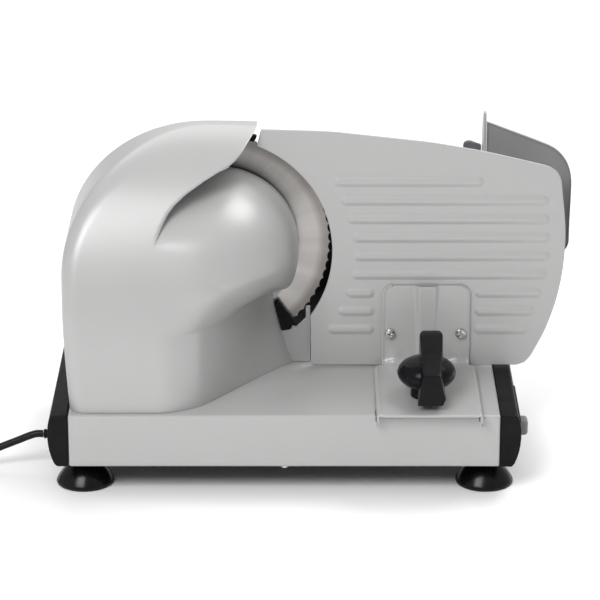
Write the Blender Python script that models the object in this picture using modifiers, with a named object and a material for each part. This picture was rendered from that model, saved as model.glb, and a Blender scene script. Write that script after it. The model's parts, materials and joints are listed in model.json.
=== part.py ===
"""Domestic deli meat slicer with a 190 mm serrated blade.

Frame of the design: X to the right as seen from the discharge side, Y from that side
towards the food side, Z up from the table. Y = 0 is the plane of the blade, and X = 0 is
the middle of the base. One empty moves it all so that the footprint is centred.
Metres throughout.
"""

import math

import bmesh
import bpy
from mathutils import Matrix, Vector

# ---- driving dimensions -------------------------------------------------------------
GAP = 0.0003                  # play between two touching pieces

BLADE_X = -0.058
BLADE_Z = 0.181
BLADE_RADIUS = 0.0975
BLADE_THICK = 0.0012
TOOTH_COUNT = 72
TOOTH_DEPTH = 0.0020

BASE_LEFT = -0.183
BASE_RIGHT = 0.1825
BASE_FRONT = -0.133
BASE_BACK = 0.080
BASE_BOTTOM = 0.0243
BASE_TOP = 0.071
SHEET = 0.0016                # base sheet thickness

CAP_BULGE = 0.0175            # how far an end cap stands out at its widest
FOOT_RADIUS = 0.0247
FOOT_HEIGHT = 0.024
FOOT_X = 0.1712
FOOT_FRONT_Y = -0.106
FOOT_BACK_Y = 0.052

HOUSING_WALL = 0.0035
HOUSING_BACK = -0.0063        # rear rim of the housing, closed by the gearbox plate
HOUSING_FRONT = -0.127
HOUSING_TOP_Z = 0.292
HOUSING_ARC_X = -0.068        # centre of the quarter ellipse over the shoulder
HOUSING_ARC_Z = 0.186
HOUSING_LEFT = -0.1875
LEAN_START_Z = 0.100          # above this the front face curves back
LEAN_HEIGHT = 0.1966
DOME_RADIUS = 0.070
DOME_DEPTH = 0.105

PLATE_FRONT = -0.006          # gearbox plate
PLATE_BACK = -0.003
GUARD_INNER = 0.0986
GUARD_OUTER = 0.1024

SHAFT_RADIUS = 0.005
GEAR_TIP = 0.040
GEAR_TEETH = 40
GEAR_Y = -0.042               # middle of the gear and the height of the motor axis in Y
GEAR_WIDTH = 0.012
WORM_RADIUS = 0.006
MOTOR_Z = BLADE_Z - GEAR_TIP - WORM_RADIUS - 0.001
MOTOR_RADIUS = 0.031
MOTOR_LEFT = -0.172
MOTOR_RIGHT = -0.112

GUIDE_BACK = -0.016           # food side of the guide plate when it is fully open
GUIDE_THICK = 0.0026
GUIDE_FRONT = GUIDE_BACK - GUIDE_THICK
CUTOUT_RADIUS = 0.1025
RIB_HEIGHT = 0.0016
RIB_WIDTH = 0.008
RIB_PITCH = 0.0169
RIB_TOP_Z = 0.2415

BRACKET_LEFT = 0.0846
BRACKET_RIGHT = 0.1613
BRACKET_THICK = 0.002
BRACKET_TOP = 0.1478
FOOT_PLATE_LEFT = 0.0775
FOOT_PLATE_RIGHT = 0.167
FOOT_PLATE_FRONT = -0.143
FOOT_PLATE_Z = 0.0735
FLANGE = 0.0020               # thickness of the flanges that run along the base
TIP_LOW = 0.0660              # the flanges' front tips reach down into slots in the base
SCREW_X = (0.0921, 0.1534)
SCREW_Z = 0.1034

KNOB_X = 0.1208
KNOB_Y = -0.098
KNOB_RADIUS = 0.025
LEVER_WIDTH = 0.021
BOLT_RADIUS = 0.0039
GUIDE_TRAVEL = 0.0155

TABLE_LEFT = -0.015
FENCE_X = 0.1726              # food side of the carriage fence
FENCE_THICK = 0.0026
TABLE_TOP = 0.096
TABLE_THICK = 0.003
TABLE_WALL_TOP = 0.185
TABLE_FRONT = 0.005
TABLE_BACK = 0.120
RAIL_Y = 0.100
RAIL_Z = 0.052
RAIL_RADIUS = 0.006
GUARD_Y = 0.025               # hand guard
PUSHER_Y = 0.040
ROD_X = 0.1640
ROD_Z = 0.160
ROD_RADIUS = 0.003

CORD_DIAMETER = 0.0064
CORD_EXIT_Y = -0.076
CORD_EXIT_Z = 0.0314
COIL_MIDDLE = 0.035           # radius at the middle of the turns

SHIFT_X = -0.0255             # puts the footprint's centre at the origin
SHIFT_Y = 0.0115

# ---- scene --------------------------------------------------------------------------
for old in list(bpy.data.objects):
    bpy.data.objects.remove(old, do_unlink=True)

PARTS = bpy.data.collections.new("meat_slicer")
CUTTERS = bpy.data.collections.new("cutters")
bpy.context.scene.collection.children.link(PARTS)
bpy.context.scene.collection.children.link(CUTTERS)
CUTTERS.hide_render = True

ROOT = bpy.data.objects.new("slicer_origin", None)
ROOT.location = (SHIFT_X, SHIFT_Y, 0.0)
PARTS.objects.link(ROOT)


def material(name, colour, roughness, metallic=0.0, transmission=0.0):
    made = bpy.data.materials.new(name)
    made.use_nodes = True
    shader = made.node_tree.nodes["Principled BSDF"]
    shader.inputs["Base Color"].default_value = (*colour, 1.0)
    shader.inputs["Roughness"].default_value = roughness
    shader.inputs["Metallic"].default_value = metallic
    shader.inputs["Transmission Weight"].default_value = transmission
    made.diffuse_color = (*colour, 1.0)
    return made


PAINT = material("silver_paint", (0.60, 0.61, 0.60), 0.38, 0.15)
BLACK = material("black_plastic", (0.018, 0.018, 0.020), 0.42)
RUBBER = material("black_rubber", (0.012, 0.012, 0.012), 0.62)
STEEL = material("brushed_steel", (0.58, 0.56, 0.53), 0.30, 1.0)
ZINC = material("zinc_plated", (0.66, 0.65, 0.62), 0.30, 1.0)
COPPER = material("copper_winding", (0.60, 0.24, 0.11), 0.40, 1.0)
IRON = material("laminated_iron", (0.20, 0.20, 0.21), 0.45, 0.8)
NYLON = material("white_nylon", (0.78, 0.76, 0.70), 0.45)
BRONZE = material("sintered_bronze", (0.50, 0.36, 0.18), 0.45, 0.9)
CLEAR = material("smoky_clear_plastic", (0.55, 0.54, 0.60), 0.12, 0.0, 0.7)
GREY_PLASTIC = material("grey_plastic", (0.34, 0.35, 0.36), 0.40)


# ---- shape helpers ------------------------------------------------------------------
def add(name, mesh, look=None, location=(0.0, 0.0, 0.0), rotation=None):
    """A mesh object, in the parts when it has a look and in the cutters when it has none."""
    made = bpy.data.objects.new(name, mesh)
    made.parent = ROOT
    made.location = location
    if rotation is not None:
        made.rotation_euler = rotation
    if look is None:
        CUTTERS.objects.link(made)
        made.hide_render = True
        made.display_type = "WIRE"
    else:
        mesh.materials.append(look)
        PARTS.objects.link(made)
    return made


def bevel(piece, width, segments=2, angle=0.5):
    rounding = piece.modifiers.new("rounding", "BEVEL")
    rounding.width = width
    rounding.segments = segments
    rounding.limit_method = "ANGLE"
    rounding.angle_limit = angle
    return piece


def boolean(piece, other, operation):
    change = piece.modifiers.new(operation.lower(), "BOOLEAN")
    change.operation = operation
    change.object = other
    return piece


def cut(piece, *cutters):
    for cutter in cutters:
        boolean(piece, cutter, "DIFFERENCE")
    return piece


def fuse(piece, *others):
    for other in others:
        boolean(piece, other, "UNION")
    return piece


def box(name, low, high, look=None):
    """A box between two corners, with its origin in its middle."""
    low, high = Vector(low), Vector(high)
    shape = bmesh.new()
    bmesh.ops.create_cube(shape, size=1.0)
    bmesh.ops.scale(shape, vec=high - low, verts=shape.verts)
    mesh = bpy.data.meshes.new(name)
    shape.to_mesh(mesh)
    shape.free()
    return add(name, mesh, look, (low + high) / 2)


def cylinder(name, start, end, radius, look=None, sides=24):
    """A round bar between two points on one axis, with its origin at the first."""
    start, end = Vector(start), Vector(end)
    axis = end - start
    turn = axis.to_track_quat("Z", "Y").to_matrix().to_4x4()
    matrix = Matrix.Translation(axis / 2) @ turn
    shape = bmesh.new()
    bmesh.ops.create_cone(
        shape,
        cap_ends=True,
        segments=sides,
        radius1=radius,
        radius2=radius,
        depth=axis.length,
        matrix=matrix,
    )
    mesh = bpy.data.meshes.new(name)
    shape.to_mesh(mesh)
    shape.free()
    mesh.shade_smooth()
    mesh.set_sharp_from_angle(angle=0.6)
    return add(name, mesh, look, start)


AXIS_TURNS = {
    "+Z": (0.0, 0.0, 0.0),
    "+Y": (-math.pi / 2, 0.0, 0.0),
    "-Y": (math.pi / 2, 0.0, 0.0),
    "+X": (0.0, math.pi / 2, 0.0),
}


def turned(name, profile, location, axis, look=None, sides=32):
    """A lathe shape. The profile lists (radius, height along the axis), top to bottom outside."""
    mesh = bpy.data.meshes.new(name)
    mesh.from_pydata([(radius, 0.0, height) for radius, height in profile], [], [])
    closed = profile[0][0] > 0.0
    count = len(profile)
    shape = bmesh.new()
    shape.from_mesh(mesh)
    shape.verts.ensure_lookup_table()
    for index in range(count if closed else count - 1):
        shape.edges.new((shape.verts[index], shape.verts[(index + 1) % count]))
    shape.to_mesh(mesh)
    shape.free()
    made = add(name, mesh, look, location, AXIS_TURNS[axis])
    screw = made.modifiers.new("turn", "SCREW")
    screw.steps = sides
    screw.render_steps = sides
    screw.use_merge_vertices = True
    screw.merge_threshold = 0.00002
    screw.use_smooth_shade = True
    return made


def ring(name, inner, outer, low, high, location, axis, look=None, sides=28):
    profile = [(outer, high), (outer, low), (inner, low), (inner, high)]
    return turned(name, profile, location, axis, look, sides)


def slab(name, outline, low, high, look=None, plane="XZ", origin=(0.0, 0.0, 0.0), more=()):
    """A flat outline, and any more beside it, given thickness along the plane's normal."""
    curve = bpy.data.curves.new(name, "CURVE")
    curve.dimensions = "2D"
    curve.fill_mode = "BOTH"
    curve.extrude = (high - low) / 2
    for drawing in (outline, *more):
        spline = curve.splines.new("POLY")
        spline.points.add(len(drawing) - 1)
        for point, (across, up) in zip(spline.points, drawing):
            point.co = (across, up, 0.0, 1.0)
        spline.use_cyclic_u = True
    drawn = bpy.data.objects.new(name + "_outline", curve)
    bpy.context.scene.collection.objects.link(drawn)
    bpy.context.view_layer.update()
    graph = bpy.context.evaluated_depsgraph_get()
    mesh = bpy.data.meshes.new_from_object(drawn.evaluated_get(graph))
    bpy.data.objects.remove(drawn, do_unlink=True)
    middle = (low + high) / 2
    frames = {
        "XZ": Matrix(((1, 0, 0, 0), (0, 0, -1, middle), (0, 1, 0, 0), (0, 0, 0, 1))),
        "YZ": Matrix(((0, 0, 1, middle), (1, 0, 0, 0), (0, 1, 0, 0), (0, 0, 0, 1))),
        "XY": Matrix(((1, 0, 0, 0), (0, 1, 0, 0), (0, 0, 1, middle), (0, 0, 0, 1))),
    }
    shape = bmesh.new()
    shape.from_mesh(mesh)
    bmesh.ops.remove_doubles(shape, verts=shape.verts, dist=0.00001)
    bmesh.ops.transform(shape, matrix=Matrix.Translation(-Vector(origin)) @ frames[plane], verts=shape.verts)
    bmesh.ops.recalc_face_normals(shape, faces=shape.faces)
    shape.to_mesh(mesh)
    shape.free()
    mesh.name = name
    mesh.materials.clear()
    return add(name, mesh, look, origin)


def arc(centre, radius, start, end, steps, squash=1.0):
    """Points of an arc between two angles in degrees. `squash` scales its height."""
    points = []
    for step in range(steps + 1):
        angle = math.radians(start + (end - start) * step / steps)
        points.append((centre[0] + radius * math.cos(angle), centre[1] + radius * squash * math.sin(angle)))
    return points


def inset(outline, distance):
    """The outline moved inwards, for a counter-clockwise list of corners."""
    moved = []
    for before, point, after in zip(outline[-1:] + outline[:-1], outline, outline[1:] + outline[:1]):
        first = (Vector(point) - Vector(before)).normalized()
        second = (Vector(after) - Vector(point)).normalized()
        normal = (Vector((-first.y, first.x)) + Vector((-second.y, second.x))).normalized()
        stretch = 1.0 / max(0.5, normal.dot(Vector((-first.y, first.x))))
        moved.append(tuple(Vector(point) + normal * distance * stretch))
    return moved


# ---- base ---------------------------------------------------------------------------
def make_base():
    shell = box(
        "base_shell", (BASE_LEFT, BASE_FRONT, BASE_BOTTOM), (BASE_RIGHT, BASE_BACK, BASE_TOP), PAINT
    )
    bevel(shell, 0.0022, 2)
    hollow = box(
        "base_hollow",
        (BASE_LEFT + SHEET, BASE_FRONT + SHEET, BASE_BOTTOM - 0.005),
        (BASE_RIGHT - SHEET, BASE_BACK - SHEET, BASE_TOP - SHEET),
    )
    bolt_hole = cylinder(
        "bolt_hole",
        (KNOB_X, KNOB_Y, BASE_TOP - 0.005),
        (KNOB_X, KNOB_Y, BASE_TOP + 0.005),
        BOLT_RADIUS + 0.0006,
    )
    cut(shell, hollow, bolt_hole)
    for side, x in (("left", FOOT_PLATE_LEFT), ("right", FOOT_PLATE_RIGHT - FLANGE)):
        slot_low = (x - 2 * GAP, BASE_FRONT - 0.010, TIP_LOW - 2 * GAP)
        slot_high = (x + FLANGE + 2 * GAP, BASE_FRONT + GUIDE_TRAVEL, BASE_TOP + 0.010)
        cut(shell, box(f"tip_slot_{side}", slot_low, slot_high))
    inner = SHEET + GAP
    box(
        "bottom_plate",
        (BASE_LEFT + inner, BASE_FRONT + inner, BASE_BOTTOM),
        (BASE_RIGHT - inner, BASE_BACK - inner, BASE_BOTTOM + 0.002),
        BLACK,
    )
    for name, y in (("bottom_screw_front", BASE_FRONT + 0.006), ("bottom_screw_rear", BASE_BACK - 0.006)):
        turned(
            name,
            [(0.0, -GAP), (0.0034, -GAP), (0.0034, -0.0016), (0.0022, -0.0026), (0.0, -0.0029)],
            (0.0, y, BASE_BOTTOM),
            "+Z",
            ZINC,
            16,
        )


def cap_outline(side):
    """Section of an end cap, bulging outwards. side is -1 for the left and 1 for the right."""
    face = BASE_LEFT - GAP if side < 0 else BASE_RIGHT + GAP
    bulge = [(0.0105, 0.0), (0.0145, 0.007), (0.0170, 0.019)]
    bulge += [(CAP_BULGE, 0.030), (0.0162, 0.040), (0.0145, 0.0467)]
    points = [(face, BASE_BOTTOM)]
    points += [(face + side * out, BASE_BOTTOM + up) for out, up in bulge]
    points.append((face, BASE_BOTTOM + 0.0467))
    return points


def make_end_caps():
    left = slab("left_end_cap", cap_outline(-1), BASE_FRONT, BASE_BACK, BLACK)
    bevel(left, 0.0018, 2)
    cut(
        left,
        box("left_cap_pocket", (-0.1925, BASE_FRONT + 0.005, 0.0285), (-0.180, BASE_BACK - 0.005, 0.066)),
        cylinder(
            "cord_hole", (-0.210, CORD_EXIT_Y, CORD_EXIT_Z), (-0.185, CORD_EXIT_Y, CORD_EXIT_Z), 0.0062
        ),
    )
    right = slab("right_end_cap", cap_outline(1), BASE_FRONT, BASE_BACK, BLACK)
    bevel(right, 0.0018, 2)
    cut(
        right,
        box("right_cap_pocket", (0.180, BASE_FRONT + 0.005, 0.0285), (0.1945, BASE_BACK - 0.005, 0.066)),
        box("button_hole", (0.190, -0.1090, 0.0420), (0.205, -0.0930, 0.0570)),
    )
    fuse(right, box("switch_rib", (0.1935, -0.127, 0.0605), (0.2000, -0.050, 0.0665)))


def make_switch():
    button = box("power_button", (0.1965, -0.1084, 0.0426), (0.2077, -0.0936, 0.0564), GREY_PLASTIC)
    bevel(button, 0.0022, 3)
    box("switch_body", (0.1832, -0.1130, 0.0360), (0.1935, -0.0890, 0.0610), BLACK)


def make_feet():
    profile = [
        (0.0, FOOT_HEIGHT),
        (0.0126, FOOT_HEIGHT),
        (0.0126, 0.0205),
        (0.0114, 0.0190),
        (0.0178, 0.0125),
        (0.0222, 0.0070),
        (FOOT_RADIUS, 0.0026),
        (FOOT_RADIUS, 0.0),
        (0.0200, 0.0),
        (0.0150, 0.0048),
        (0.0, 0.0078),
    ]
    for side, x in (("left", -FOOT_X), ("right", FOOT_X)):
        for end, y in (("front", FOOT_FRONT_Y), ("rear", FOOT_BACK_Y)):
            turned(f"foot_{end}_{side}", profile, (x, y, 0.0), "+Z", RUBBER, 28)


# ---- housing and its back plate -----------------------------------------------------
HOOD_TIP = (-0.0235, 0.2912)
HOOD_EDGE = ((-0.031, 0.284), (-0.044, 0.2714), (-0.0675, 0.2592), (-0.0825, 0.2502), (-0.095, 0.2387))
LOW_WALL_RIGHT = 0.0195
LOW_WALL_TOP = 0.097
EAR_RADIUS = 0.1029                   # the back plate's corner beside the wall clears the blade guard
HIGH_WALL_RIGHT = -0.011
HIGH_WALL_TOP = 0.130
PAST_BACK = 0.010                     # overlap that the final cuts take away


def shoulder():
    """The quarter ellipse from the top to the left side."""
    across = HOUSING_ARC_X - HOUSING_LEFT
    squash = (HOUSING_TOP_Z - HOUSING_ARC_Z) / across
    return arc((HOUSING_ARC_X, HOUSING_ARC_Z), across, 90, 180, 12, squash)


def body_outline(floor):
    """The housing from the discharge side, counter-clockwise, without the dome."""
    right_side = [(-0.100, floor), (-0.107, 0.150), (-0.107, 0.200), (-0.103, 0.227)]
    left_side = [(-0.1855, 0.120), (-0.182, floor)]
    return right_side + list(HOOD_EDGE[::-1]) + [HOOD_TIP] + shoulder() + left_side


def side_outline(floor):
    """The curved front face, seen from the side, counter-clockwise."""
    points = [(0.020, floor), (0.020, 0.310), (HOUSING_FRONT * 0.20, 0.310)]
    for step in range(10):
        height = HOUSING_TOP_Z - (HOUSING_TOP_Z - LEAN_START_Z) * step / 9
        lean = math.sqrt(1.0 - ((height - LEAN_START_Z) / LEAN_HEIGHT) ** 2)
        points.append((HOUSING_FRONT * lean, height))
    points.append((HOUSING_FRONT, floor))
    return points


def wall_outline():
    """Footprint of the lower wall, which runs back to the blade on a slant."""
    front = [(-0.112, -0.1258), (-0.100, -0.1254), (-0.086, -0.1203), (-0.072, -0.1090), (-0.052, -0.0830)]
    return [(-0.112, PAST_BACK)] + front + [(LOW_WALL_RIGHT, -0.0169), (LOW_WALL_RIGHT, PAST_BACK)]


def dome(name, wall):
    shape = bmesh.new()
    bmesh.ops.create_uvsphere(shape, u_segments=28, v_segments=16, radius=1.0)
    radius = DOME_RADIUS - wall
    bmesh.ops.scale(shape, vec=(radius, DOME_DEPTH - wall, radius), verts=shape.verts)
    mesh = bpy.data.meshes.new(name)
    shape.to_mesh(mesh)
    shape.free()
    return add(name, mesh, None, (BLADE_X, HOUSING_BACK, BLADE_Z))


def housing_volume(name, wall, look=None):
    """The housing's outer volume, or its inner one when `wall` is more than 0."""
    floor = BASE_TOP - (0.020 if wall else 0.010)
    body = slab(name, inset(body_outline(floor), wall), -0.140, PAST_BACK + wall, look)
    side = slab(name + "_side", inset(side_outline(floor - 0.010), wall), -0.300, 0.200, plane="YZ")
    boolean(body, side, "INTERSECT")
    wall_top = HIGH_WALL_TOP - wall
    lower_wall = slab(name + "_wall", inset(wall_outline(), wall), floor - 0.003, wall_top, plane="XY")
    step_low = (HIGH_WALL_RIGHT - wall, -0.200, LOW_WALL_TOP - wall)
    cut(lower_wall, box(name + "_step", step_low, (0.100, 0.100, 0.300)))
    fuse(body, dome(name + "_dome", wall), lower_wall)
    return body


def make_housing():
    housing = housing_volume("motor_housing", 0.0, PAINT)
    cut(
        housing,
        housing_volume("housing_hollow", HOUSING_WALL),
        box("gear_hollow", (-0.125, -0.060, 0.080), (-0.085, PAST_BACK, 0.205)),
        box("behind_rim", (-0.300, HOUSING_BACK, -0.100), (0.200, 0.300, 0.500)),
        box("below_rim", (-0.300, -0.300, -0.100), (0.200, 0.200, BASE_TOP + GAP)),
    )
    return housing


def make_gearbox_plate():
    """Closes the back of the housing, and has its outline as seen from the blade."""
    floor = BASE_TOP + GAP
    centre = (BLADE_X, BLADE_Z)
    ear_end = -math.degrees(math.acos((LOW_WALL_RIGHT - BLADE_X) / EAR_RADIUS))
    dome_low = math.degrees(math.asin((HIGH_WALL_TOP - BLADE_Z) / DOME_RADIUS))
    outline = [(-0.182, floor), (LOW_WALL_RIGHT, floor)]
    outline += arc(centre, EAR_RADIUS, ear_end, -49, 3)
    outline += [(0.009, LOW_WALL_TOP), (HIGH_WALL_RIGHT, LOW_WALL_TOP), (HIGH_WALL_RIGHT, HIGH_WALL_TOP)]
    outline += arc(centre, DOME_RADIUS, dome_low + 1, 123, 28)
    outline += list(HOOD_EDGE[-2::-1]) + [HOOD_TIP] + shoulder() + [(-0.1855, 0.120)]
    plate = slab("gearbox_plate", outline, PLATE_FRONT, PLATE_BACK, PAINT)
    post_low = (0.0180, PLATE_FRONT + 0.0002, floor + 0.0002)
    fuse(plate, box("plate_post", post_low, (0.0220, -0.0010, 0.122)))
    cut(plate, cylinder("bush_hole", (BLADE_X, -0.020, BLADE_Z), (BLADE_X, 0.010, BLADE_Z), 0.0113))


def make_blade_guard():
    centre = (BLADE_X, BLADE_Z)
    outline = arc(centre, GUARD_OUTER, 72, 311.5, 32) + arc(centre, GUARD_INNER, 311.5, 72, 32)
    rim = slab("blade_guard", outline, PLATE_BACK + GAP, 0.0025, BLACK)
    wedge = [(-0.0095, 0.1258), (-0.0032, 0.1008), (0.0049, 0.1022), (0.0078, 0.1084), (-0.0064, 0.1286)]
    fuse(rim, slab("guard_wedge", wedge, -0.0056, -0.0016))


# ---- blade and drive ----------------------------------------------------------------
def toothed(centre, tip, root, count, land):
    """Outline of a wheel with `count` teeth, each with a land that is `land` of its pitch."""
    points = []
    for tooth in range(count):
        for share, radius in ((0.0, tip), (land, tip), (land + 0.12, root), (0.88, root)):
            angle = 2 * math.pi * (tooth + share) / count
            points.append((centre[0] + radius * math.cos(angle), centre[1] + radius * math.sin(angle)))
    return points


def make_blade():
    axis = (BLADE_X, 0.0, BLADE_Z)
    half = BLADE_THICK / 2
    outline = toothed((BLADE_X, BLADE_Z), BLADE_RADIUS, BLADE_RADIUS - TOOTH_DEPTH, TOOTH_COUNT, 0.3)
    blade = slab("blade", outline, -half, half, STEEL, origin=axis)
    bore = SHAFT_RADIUS + GAP
    cut(blade, cylinder("blade_bore", (BLADE_X, -0.01, BLADE_Z), (BLADE_X, 0.01, BLADE_Z), bore))
    turned(
        "blade_shaft",
        [
            (0.0, 0.0006),
            (SHAFT_RADIUS, 0.0006),
            (SHAFT_RADIUS, -half - GAP),
            (0.016, -half - GAP),
            (0.016, -0.0026),
            (SHAFT_RADIUS, -0.0026),
            (SHAFT_RADIUS, -0.062),
            (0.0, -0.062),
        ],
        axis,
        "+Y",
        STEEL,
    )
    lock_cap = turned(
        "blade_lock_cap",
        [(0.0, 0.0095), (0.0120, 0.0095), (0.0190, 0.0065), (0.0220, 0.0009), (0.0, 0.0009)],
        axis,
        "+Y",
        BLACK,
    )
    slot_low = (BLADE_X - 0.012, 0.0078, BLADE_Z - 0.0015)
    cut(lock_cap, box("coin_slot", slot_low, (BLADE_X + 0.012, 0.012, BLADE_Z + 0.0015)))


def make_drive():
    axis = (BLADE_X, 0.0, BLADE_Z)
    low, high = GEAR_Y - GEAR_WIDTH / 2, GEAR_Y + GEAR_WIDTH / 2
    teeth = toothed((BLADE_X, BLADE_Z), GEAR_TIP, GEAR_TIP - 0.0026, GEAR_TEETH, 0.28)
    gear = slab("drive_gear", teeth, low, high, NYLON, origin=axis)
    cut(
        gear,
        cylinder("gear_bore", (BLADE_X, -0.08, BLADE_Z), (BLADE_X, 0.0, BLADE_Z), SHAFT_RADIUS + GAP),
        ring("gear_recess", 0.012, 0.032, -0.004, 0.010, (BLADE_X, low, BLADE_Z), "-Y"),
    )
    inner = SHAFT_RADIUS + GAP
    turned(
        "front_bush",
        [
            (0.011, -0.0032),
            (0.011, -0.0063),
            (0.014, -0.0063),
            (0.014, -0.010),
            (inner, -0.010),
            (inner, -0.0032),
        ],
        axis,
        "+Y",
        BRONZE,
        28,
    )
    ring("rear_bush", inner, 0.011, -0.060, -0.052, axis, "+Y", BRONZE)
    bracket = box("gearbox_bracket", (-0.112, -0.058, 0.173), (-0.004, -0.054, 0.189), IRON)
    fuse(
        bracket,
        cylinder("bracket_boss", (BLADE_X, -0.058, BLADE_Z), (BLADE_X, -0.054, BLADE_Z), 0.016),
        box("bracket_leg_left", (-0.112, -0.055, 0.173), (-0.1065, HOUSING_BACK, 0.189)),
        box("bracket_leg_right", (-0.0095, -0.055, 0.173), (-0.004, HOUSING_BACK, 0.189)),
    )
    cut(bracket, cylinder("rear_bush_hole", (BLADE_X, -0.07, BLADE_Z), (BLADE_X, -0.04, BLADE_Z), 0.0113))
    block_high = (-0.0385, HOUSING_BACK, MOTOR_Z + 0.0065)
    block = box("worm_bearing", (-0.0455, -0.050, MOTOR_Z - 0.010), block_high, IRON)
    cut(block, cylinder("journal_hole", (-0.050, GEAR_Y, MOTOR_Z), (-0.030, GEAR_Y, MOTOR_Z), 0.0043))


def make_motor():
    axis = (0.0, GEAR_Y, MOTOR_Z)
    frame = ring("motor_frame", 0.0293, MOTOR_RADIUS, MOTOR_LEFT, MOTOR_RIGHT, axis, "+X", IRON)
    pad_low = (-0.165, -0.0122, MOTOR_Z - 0.008)
    fuse(frame, box("motor_pad", pad_low, (-0.120, HOUSING_BACK, MOTOR_Z + 0.008)))
    ring("motor_stator", 0.0173, 0.0290, -0.158, -0.130, axis, "+X", COPPER)
    for name, low in (("motor_end_left", MOTOR_LEFT + 0.001), ("motor_end_right", MOTOR_RIGHT - 0.005)):
        ring(name, 0.0043, 0.0290, low, low + 0.004, axis, "+X", ZINC)
    ring("motor_armature", 0.0043, 0.0165, -0.160, -0.126, axis, "+X", IRON)
    ring("cooling_fan", 0.0043, 0.0240, -0.1790, -0.1745, axis, "+X", BLACK)
    turned(
        "motor_shaft",
        [
            (0.0, -0.0390),
            (0.0040, -0.0390),
            (0.0040, -0.0470),
            (WORM_RADIUS, -0.0470),
            (WORM_RADIUS, -0.0720),
            (0.0040, -0.0720),
            (0.0040, -0.1800),
            (0.0, -0.1800),
        ],
        axis,
        "+X",
        STEEL,
        24,
    )


# ---- guide plate, its bracket and its lock ------------------------------------------
def guide_outline():
    """Counter-clockwise from the end of the blade cut-out, along the bottom and round."""
    centre = (-0.0605, 0.1787)
    low_end = math.degrees(math.asin((0.0227 - centre[0]) / CUTOUT_RADIUS)) - 90
    high_end = math.degrees(math.acos((-0.0233 - centre[0]) / CUTOUT_RADIUS))
    cutout = arc(centre, CUTOUT_RADIUS, high_end, low_end, 24)
    bottom = [(0.0227, 0.0750), (0.0252, 0.0728), (0.2030, 0.0728), (0.2100, 0.0752), (0.2150, 0.0805)]
    right = [(0.2272, 0.1045), (0.2362, 0.1315), (0.2411, 0.1572), (0.2430, 0.1820), (0.2424, 0.2056)]
    corner = [(0.2394, 0.2295), (0.2378, 0.2440), (0.2340, 0.2510), (0.2272, 0.2553)]
    top = [(0.2085, 0.2600), (0.1714, 0.2688), (0.1268, 0.2768), (0.0387, 0.2866), (-0.0202, 0.2884)]
    return cutout + bottom + right + corner + top


RIB_SPANS = (
    ((0.0420, 0.1715),),
    ((0.0480, 0.2280),),
    ((0.0540, 0.2290),),
    ((0.0580, 0.2300),),
    ((0.0590, 0.2300),),
    ((0.0580, 0.2280),),
    ((0.0530, 0.0780), (0.1650, 0.2240)),
    ((0.0460, 0.0780), (0.1650, 0.2180)),
    ((0.0370, 0.0780), (0.1650, 0.2140)),
)


def rib_outlines():
    """The raised ribs, each with round ends, from the top row down."""
    half = RIB_WIDTH / 2
    found = []
    for row, spans in enumerate(RIB_SPANS):
        height = RIB_TOP_Z - row * RIB_PITCH
        for left, right in spans:
            left_end = arc((left + half, height), half, 90, 270, 4)
            found.append(left_end + arc((right - half, height), half, -90, 90, 4))
    return found


def make_guide_plate():
    plate = slab("guide_plate", guide_outline(), GUIDE_FRONT, GUIDE_BACK, PAINT)
    first, *others = rib_outlines()
    fuse(plate, slab("ribs", first, GUIDE_FRONT - RIB_HEIGHT, GUIDE_FRONT + 0.0006, more=others))


def make_bracket():
    front = GUIDE_FRONT - GAP
    upright = box(
        "guide_bracket",
        (BRACKET_LEFT, front - BRACKET_THICK, FOOT_PLATE_Z),
        (BRACKET_RIGHT, front, BRACKET_TOP),
        PAINT,
    )
    thick_top = FOOT_PLATE_Z + BRACKET_THICK
    foot_low = (FOOT_PLATE_LEFT, FOOT_PLATE_FRONT, FOOT_PLATE_Z)
    fuse(upright, box("foot_plate", foot_low, (FOOT_PLATE_RIGHT, front - 0.001, thick_top)))
    rest = BASE_TOP + GAP
    for side, x in (("left", FOOT_PLATE_LEFT), ("right", FOOT_PLATE_RIGHT - FLANGE)):
        fuse(
            upright,
            box(f"flange_{side}", (x, FOOT_PLATE_FRONT, rest), (x + FLANGE, front - 0.003, thick_top)),
            box(f"tip_{side}", (x, FOOT_PLATE_FRONT, TIP_LOW), (x + FLANGE, BASE_FRONT - 0.0015, thick_top)),
        )
    half = BOLT_RADIUS + 0.0008
    slot_low = (KNOB_X - half, KNOB_Y - GUIDE_TRAVEL - half - 0.0005, 0.060)
    cut(upright, box("bolt_slot", slot_low, (KNOB_X + half, KNOB_Y + half, 0.090)))
    for side, x in zip(("left", "right"), SCREW_X):
        turned(
            f"bracket_screw_{side}",
            [(0.0, 0.0034), (0.0030, 0.0031), (0.0048, 0.0018), (0.0048, GAP), (0.0, GAP)],
            (x, front - BRACKET_THICK, SCREW_Z),
            "-Y",
            ZINC,
            20,
        )


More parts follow.
